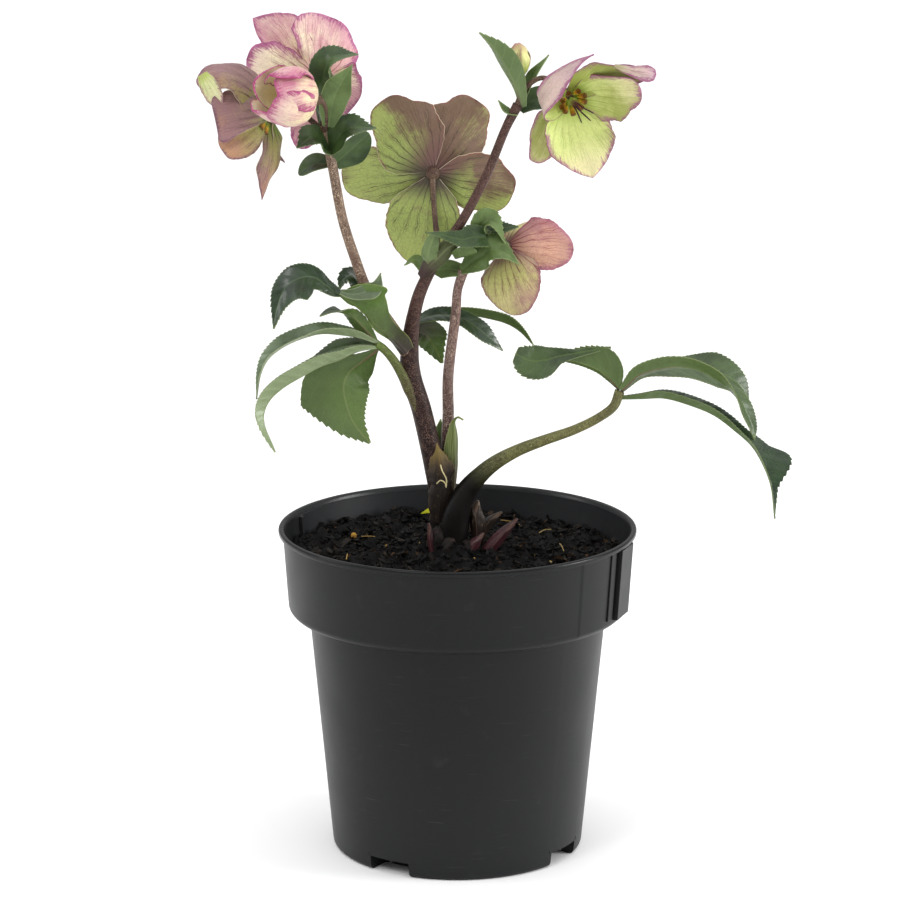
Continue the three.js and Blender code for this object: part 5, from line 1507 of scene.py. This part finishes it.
BLOOMS = dict(
    centre=dict(
        heart=[-13, 12, 364], facing=[0.05, 0.97, 0.2],
        sepals=[
            dict(
                tip=[-40, 20, 401], left=[4, 16, 21, 21, 14, 12], right=[3, 16, 20, 16, 14, 13], sag=[3, 1],
                dusk=[1.25, 0.15],
            ),
            dict(
                tip=[10, 24, 401], left=[3, 13, 18, 17, 14, 14], right=[3, 12, 17, 19, 13, 12],
                sag=[-1, -3], dusk=[0.6, 1.25],
            ),
            dict(
                tip=[30, 23, 353], left=[3, 12, 15, 17, 18, 16], right=[3, 12, 16, 17, 12, 10], sag=[1, -1],
                curl=12, dusk=[0.1, 1.0],
            ),
            dict(
                tip=[-18, 15, 314], left=[4, 16, 22, 22, 18, 15], right=[4, 13, 17, 18, 16, 12], sag=[4, 2],
                curl=14, dusk=[0.15, 0.3],
            ),
            dict(
                tip=[-61, 25, 358], left=[3, 10, 14, 16, 14, 12], right=[3, 10, 14, 16, 14, 12],
                sag=[-1, -3], dusk=[0.35, 0.15],
            ),
        ],
    ),
    top_right=dict(
        heart=[57, -6, 407], facing=[0.35, -0.85, -0.32],
        sepals=[
            dict(
                tip=[70, -16, 366], left=[4, 15, 19, 18, 15, 13], right=[3, 15, 18, 18, 15, 13], sag=[4, 2],
                curl=14, end="pointed", dusk=0.05,
            ),
            dict(
                tip=[94, -20, 412], left=[3, 9, 11, 11, 12, 12], right=[3, 11, 19, 18, 12, 10], sag=[3, 1],
                curl=20, dusk=[0.2, 0.7],
            ),
            # Painted shade: this sepal lies in shadow, so its dusk is high.
            dict(
                tip=[99, -28, 423], left=[6, 14, 15, 11, 7, 4], right=[3, 6, 8, 8, 7, 6], sag=[4, 4],
                curl=26, dusk=0.85,
            ),
            dict(
                tip=[69, -36, 432],
                bend=[
                    [51, -12, 402], [45, -17, 401], [43, -22, 405], [47, -27, 414], [54, -31, 422],
                    [61, -34, 428],
                ],
                up=[
                    [0.1, -0.9, 0.1], [0.9, -0.2, 0.2], [0.5, 0.8, -0.3], [0.5, 0.8, -0.3],
                    [0.5, 0.8, -0.3],
                ],
                left=[3, 5, 6, 7, 8, 7, 5, 2.5], right=[3, 4.5, 4.5, 5, 5.5, 5, 3.5, 2], curl=16,
                end="acute", dusk=[0.2, 0.9],
            ),
            dict(
                tip=[39, -8, 373], left=[2, 4, 6, 8, 9, 7], right=[2, 6, 10, 10, 8, 6], sag=[3, 1], curl=18,
            ),
        ],
        turnovers=[
            dict(
                path=[[80, -26, 425], [88, -29, 423], [95, -31, 422], [101, -31, 421]],
                up=[[0.1, 0.8, -0.5]], left=[1, 2.4, 3.8, 4.6, 4.6], tip="blunt", curl=24, dusk=0.3,
            ),
        ],
    ),
    low_right=dict(
        heart=[25, 7, 326], facing=[0.62, 0.66, -0.42],
        sepals=[
            dict(
                tip=[33, -2, 291], left=[4, 14, 17, 16.5, 13, 9], right=[5, 15, 18, 17, 13, 9], sag=[5, 4],
                curl=22, up=[0.3, 0.9, 0.25], dusk=[-0.1, 0.6],
            ),
            dict(
                tip=[61, 8, 324], left=[4, 9, 12, 12, 11, 9], right=[4, 12, 16, 15, 12, 9], sag=[4, 4],
                curl=20, up=[-0.1, 0.95, -0.25], dusk=[0.15, 0.75], skin=2,
            ),
            dict(at=(75, 44, 33), half=11, sag=[3, 2], curl=18),
            dict(at=(0, 42, 32), half=12, sag=[3, 2], curl=18),
            dict(at=(-70, 44, 30), half=11, sag=[3, 2], curl=18),
        ],
    ),
    opening=dict(
        heart=[-72, -20, 407], facing=[-0.76, -0.62, 0.2], core=3,
        shared=dict(half=13.5, sag=[9, 8], curl=56, roll=16),
        sepals=[
            dict(at=(90, 14, 34), dusk=0.55),
            dict(at=(162, 17, 36), dusk=0.32),
            dict(at=(234, 20, 37), dusk=0.12),
            dict(at=(306, 16, 35), dusk=0.45),
            dict(at=(18, 12, 33), dusk=0.55),
        ],
    ),
    top_left=dict(
        heart=[-73, 10, 413], facing=[-0.28, 0.86, 0.42],
        sepals=[
            dict(
                tip=[-107, 23, 444], left=[3, 9, 15, 17, 15, 12], right=[2, 5, 8, 9, 8, 7], sag=[0, -2],
                curl=12, end="pointed", dusk=[0.5, 0.9],
            ),
            dict(
                tip=[-64, 21, 444], left=[3, 14, 20, 22, 17, 11], right=[3, 11, 17, 21, 21, 18],
                sag=[0, -2], curl=12, dusk=[1.15, 0.45],
            ),
            dict(
                tip=[-54, 15, 399], left=[3, 8, 12, 14, 15, 16], right=[3, 14, 19, 16, 13, 10], sag=[1, -1],
                curl=16, dusk=[0.5, 0.65],
            ),
            dict(
                tip=[-82, 18, 376], left=[2, 6, 9, 9, 8, 6], right=[2, 9, 12, 10, 8, 6], sag=[2, 0],
                dusk=0.9,
            ),
            dict(
                tip=[-110, 13, 424], left=[3, 10, 14, 15, 13, 12], right=[3, 6, 9, 10, 10, 9], sag=[3, 2],
                curl=16, dusk=[0.6, 0.1],
            ),
        ],
    ),
    low_left=dict(
        heart=[-97, -4, 396], facing=[-0.74, -0.12, -0.64],
        sepals=[
            dict(
                tip=[-134, -15, 414], bend=[[-103, -8, 410], [-114, -12, 419], [-126, -15, 420]],
                up=[0.1, 0.6, -0.75], left=[3, 7, 8, 8, 7, 6], right=[4, 14, 14, 12, 10, 8], curl=16,
                dusk=[1.0, 0.35],
            ),
            dict(
                tip=[-124, -26, 396], left=[2, 8, 14, 16, 15, 14], right=[2, 3.5, 5, 7, 10, 12], sag=[4, 3],
                end="square", curl=12, up=[-0.35, 0.85, -0.3], dusk=[0.95, 0.7],
            ),
            dict(
                tip=[-120, -22, 379], left=[2, 4, 7, 11, 13, 10], right=[2, 4, 7, 9, 8, 6], sag=[3, 2],
                end="blunt", curl=12, up=[-0.35, 0.85, -0.2], dusk=[0.1, 0.4],
            ),
            dict(
                tip=[-102, -6, 353], left=[3, 5, 6.5, 7, 6.5, 5], right=[3, 8, 7, 5, 3, 3], sag=[4, 3],
                curl=24, end="acute", up=[-0.6, 0.75, 0.1], dusk=[0.6, 0.1],
            ),
            dict(
                tip=[-91, 8, 371], left=[3, 6, 7, 7, 6, 5], right=[3, 6, 7, 7, 6, 5], sag=[-3, -2], curl=20,
                dusk=0.9,
            ),
        ],
        turnovers=[
            dict(
                path=[[-131, -19, 420], [-128, -20, 415], [-125, -20, 409], [-122, -20, 404]],
                up=[[-0.3, -0.9, 0.1]], left=[3, 5, 5, 4], tip="blunt", curl=16, dusk=0.1,
            ),
        ],
    ),
)
BUD = dict(heart=[33, -7, 418], facing=[-0.14, 0.06, 1])
BUD_LENGTH, BUD_GIRTH, BUD_SCALES = 16.5, 5.4, 5


# ---- the plant, node by node ----


def add_stems(skins):
    for name, parts in STEMS.items():
        forms = []
        for i, (path, diameters) in enumerate(parts):
            sides = 28 if i == 0 else 20
            forms.append(tube(path, diameters, sides, ribs=0.012, skin=min(i, 1), tone=i * 0.2))
        own = [skins[f"stem_{name}"], skins["pedicel"]]
        add_piece(f"stem_{name}", forms, own, f"flowering_stem_{name}")


def add_leaves(skins):
    for name, leaf in LEAVES.items():
        forms = []
        if name in STALKS:
            skin = FOLIAGE_SKINS.index("petiole" if name == "right" else "leaf_stalk")
            forms.append(tube(*STALKS[name], 26, ribs=0.015, skin=skin))
        for i, leaflet in enumerate(leaf):
            measures = {"pitch": LEAF_PITCH, **leaflet, "skin": FOLIAGE_SKINS.index(leaflet["skin"])}
            forms.append(blade(**measures, tone=spread_tone(i, 0.2)))
        add_piece(f"foliage_{name}", forms, [skins[s] for s in FOLIAGE_SKINS], f"leaf_{name}")


def add_blooms(skins):
    for name, bloom in BLOOMS.items():
        own = [sepal_skin(f"sepal_{name}", *SEPAL_SKINS[name]), skins["pedicel"]]
        blush = f"{name}_blush"
        if blush in SEPAL_SKINS:
            own.append(sepal_skin(f"sepal_{blush}", *SEPAL_SKINS[blush]))
        node = "bud_opening" if name == "opening" else f"bloom_{name}"
        add_piece(f"sepals_{name}", bloom_forms(**bloom), own, node)
        if name == "opening":
            continue
        ring = nectary_forms(bloom["heart"], bloom["facing"])
        add_piece(f"nectary_ring_{name}", ring, [skins["nectary"]], f"nectaries_{name}")
        styles = pistil_forms(bloom["heart"], bloom["facing"])
        add_piece(f"styles_{name}", styles, [skins["pistil"]], f"pistil_{name}")
    add_piece("closed_bud", closed_bud_forms(**BUD), [skins["bud"]], "bud_closed")


def closed_bud_forms(heart, facing):
    """An egg-shaped bud of sepals that wrap one another."""
    foot, axis = np.array(heart, float), unit(facing)
    t = np.linspace(0, 1, 9)
    girth = BUD_GIRTH * np.sin(np.pi * np.clip(t * 0.93 + 0.04, 0, 1)) ** 0.6
    spine = foot + axis * BUD_LENGTH * t[:, None]
    forms = [swept(spine, t, girth * 0.9, 20)]
    side = unit(np.cross(axis, [0, 1, 0]))
    for i in range(BUD_SCALES):
        out = turned(side, axis, 360 * i / BUD_SCALES + 20)
        path = spine + out * girth[:, None] * (0.93 + 0.02 * (i % 2))
        dusk = 0.75 if out[0] < -0.3 else 0.1
        scale = dict(THIN_SCALE, tip="blunt", curl=-66, rows=34, rib=0.05, dusk=dusk)
        forms.append(blade(path, out, (girth * 1.15).tolist(), tone=0.2 * i, **scale))
    return forms


def add_bracts(skins):
    for i, (name, bract) in enumerate(BRACTS.items()):
        skin = skins["bract_dark" if name in DARK_BRACTS else "bract"]
        parts = bract if isinstance(bract, list) else [bract]
        forms = [blade(**part, rows=44, tone=(i * 0.23) % 1, skin=k) for k, part in enumerate(parts)]
        add_piece(f"leafy_bract_{name}", forms, [skin, skins["stem_wrap"]], f"bract_{name}")


def add_sheaths(skins):
    for name, sheath in SHEATHS.items():
        forms = [blade(**sheath, rows=44, relief=sepal_relief)]
        if name == "brown":
            forms += [swept(path, np.linspace(0, 1, 12), [0.35] * 12, 8, 1) for path in DRY_THREADS]
        own = [skins[SHEATH_SKINS[name]], skins["dry_thread"]]
        add_piece(f"basal_sheath_{name}", forms, own, f"sheath_{name}")


def add_shoots(skins):
    for name, shoot in SHOOTS.items():
        skin = skins["shoot_brown" if name in ("tall", "far") else "shoot"]
        add_piece(f"new_shoot_{name}", shoot_forms(*shoot), [skin], f"shoot_{name}")


def shoot_forms(path, diameters):
    """A pointed shoot wrapped in scales, each with a free pale edge."""
    forms = [tube(path, [d * 0.9 for d in diameters], 18, 0.8)]
    axis = unit(np.subtract(path[-1], path[0]))
    side = unit(np.cross(axis, [0.3, 1, 0.1]))
    for i, turn in enumerate((20, 150, 265)):
        out = turned(side, axis, turn)
        t = np.array([0.1, 0.35, 0.6, 0.8, 1.0]) * (1 - 0.1 * i)
        radius = straight_list(diameters, t) / 2 + 0.1 * (2 - i)
        spine = curve_at(path, t) + out * (radius[:, None] * 0.95)
        scale = dict(THIN_SCALE, curl=-78, rows=26, columns=16, rib=0.1)
        forms.append(blade(spine, out, (radius * 1.35).tolist(), tone=0.2 + 0.3 * i, **scale))
    return forms


def add_crown(skins):
    forms = [lump(**CROWN, rows=30, columns=44, rough=0.05)]
    for i, (*at, radius, rise) in enumerate(CROWN_KNOBS):
        forms.append(lump(at, [radius, radius, rise], rows=22, columns=32, rough=0.05, tone=i / 7))
    add_piece("rootstock", forms, [skins["crown"]], "crown")


def add_pot(skins):
    form = spun(pot_outline(), pot_turns(), pot_shift)
    pot = add_piece("nursery_pot", [form], [skins["pot"]], "pot", crease=38)
    cut_with(pot, drain_cutters())
    mouldings = mesh_of("pot_mouldings", [*label_forms(), *drain_roofs()], [skins["pot"]])
    bevel = add_mesh(mouldings, "pot").modifiers.new("soft_edges", "BEVEL")
    bevel.width = 0.0003
    bevel.segments = 2


def corners(box):
    return [[float(c) for c in corner] for corner in box]


add_camera()
add_studio()
add_floor()
skins = make_skins()
add_stems(skins)
add_leaves(skins)
add_blooms(skins)
add_bracts(skins)
add_sheaths(skins)
add_shoots(skins)
add_crown(skins)
add_piece("potting_mix", soil_forms(), [skins["soil"]], "soil")
add_pot(skins)

{"cad": corners(cad_box), "visual": corners(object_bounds())}
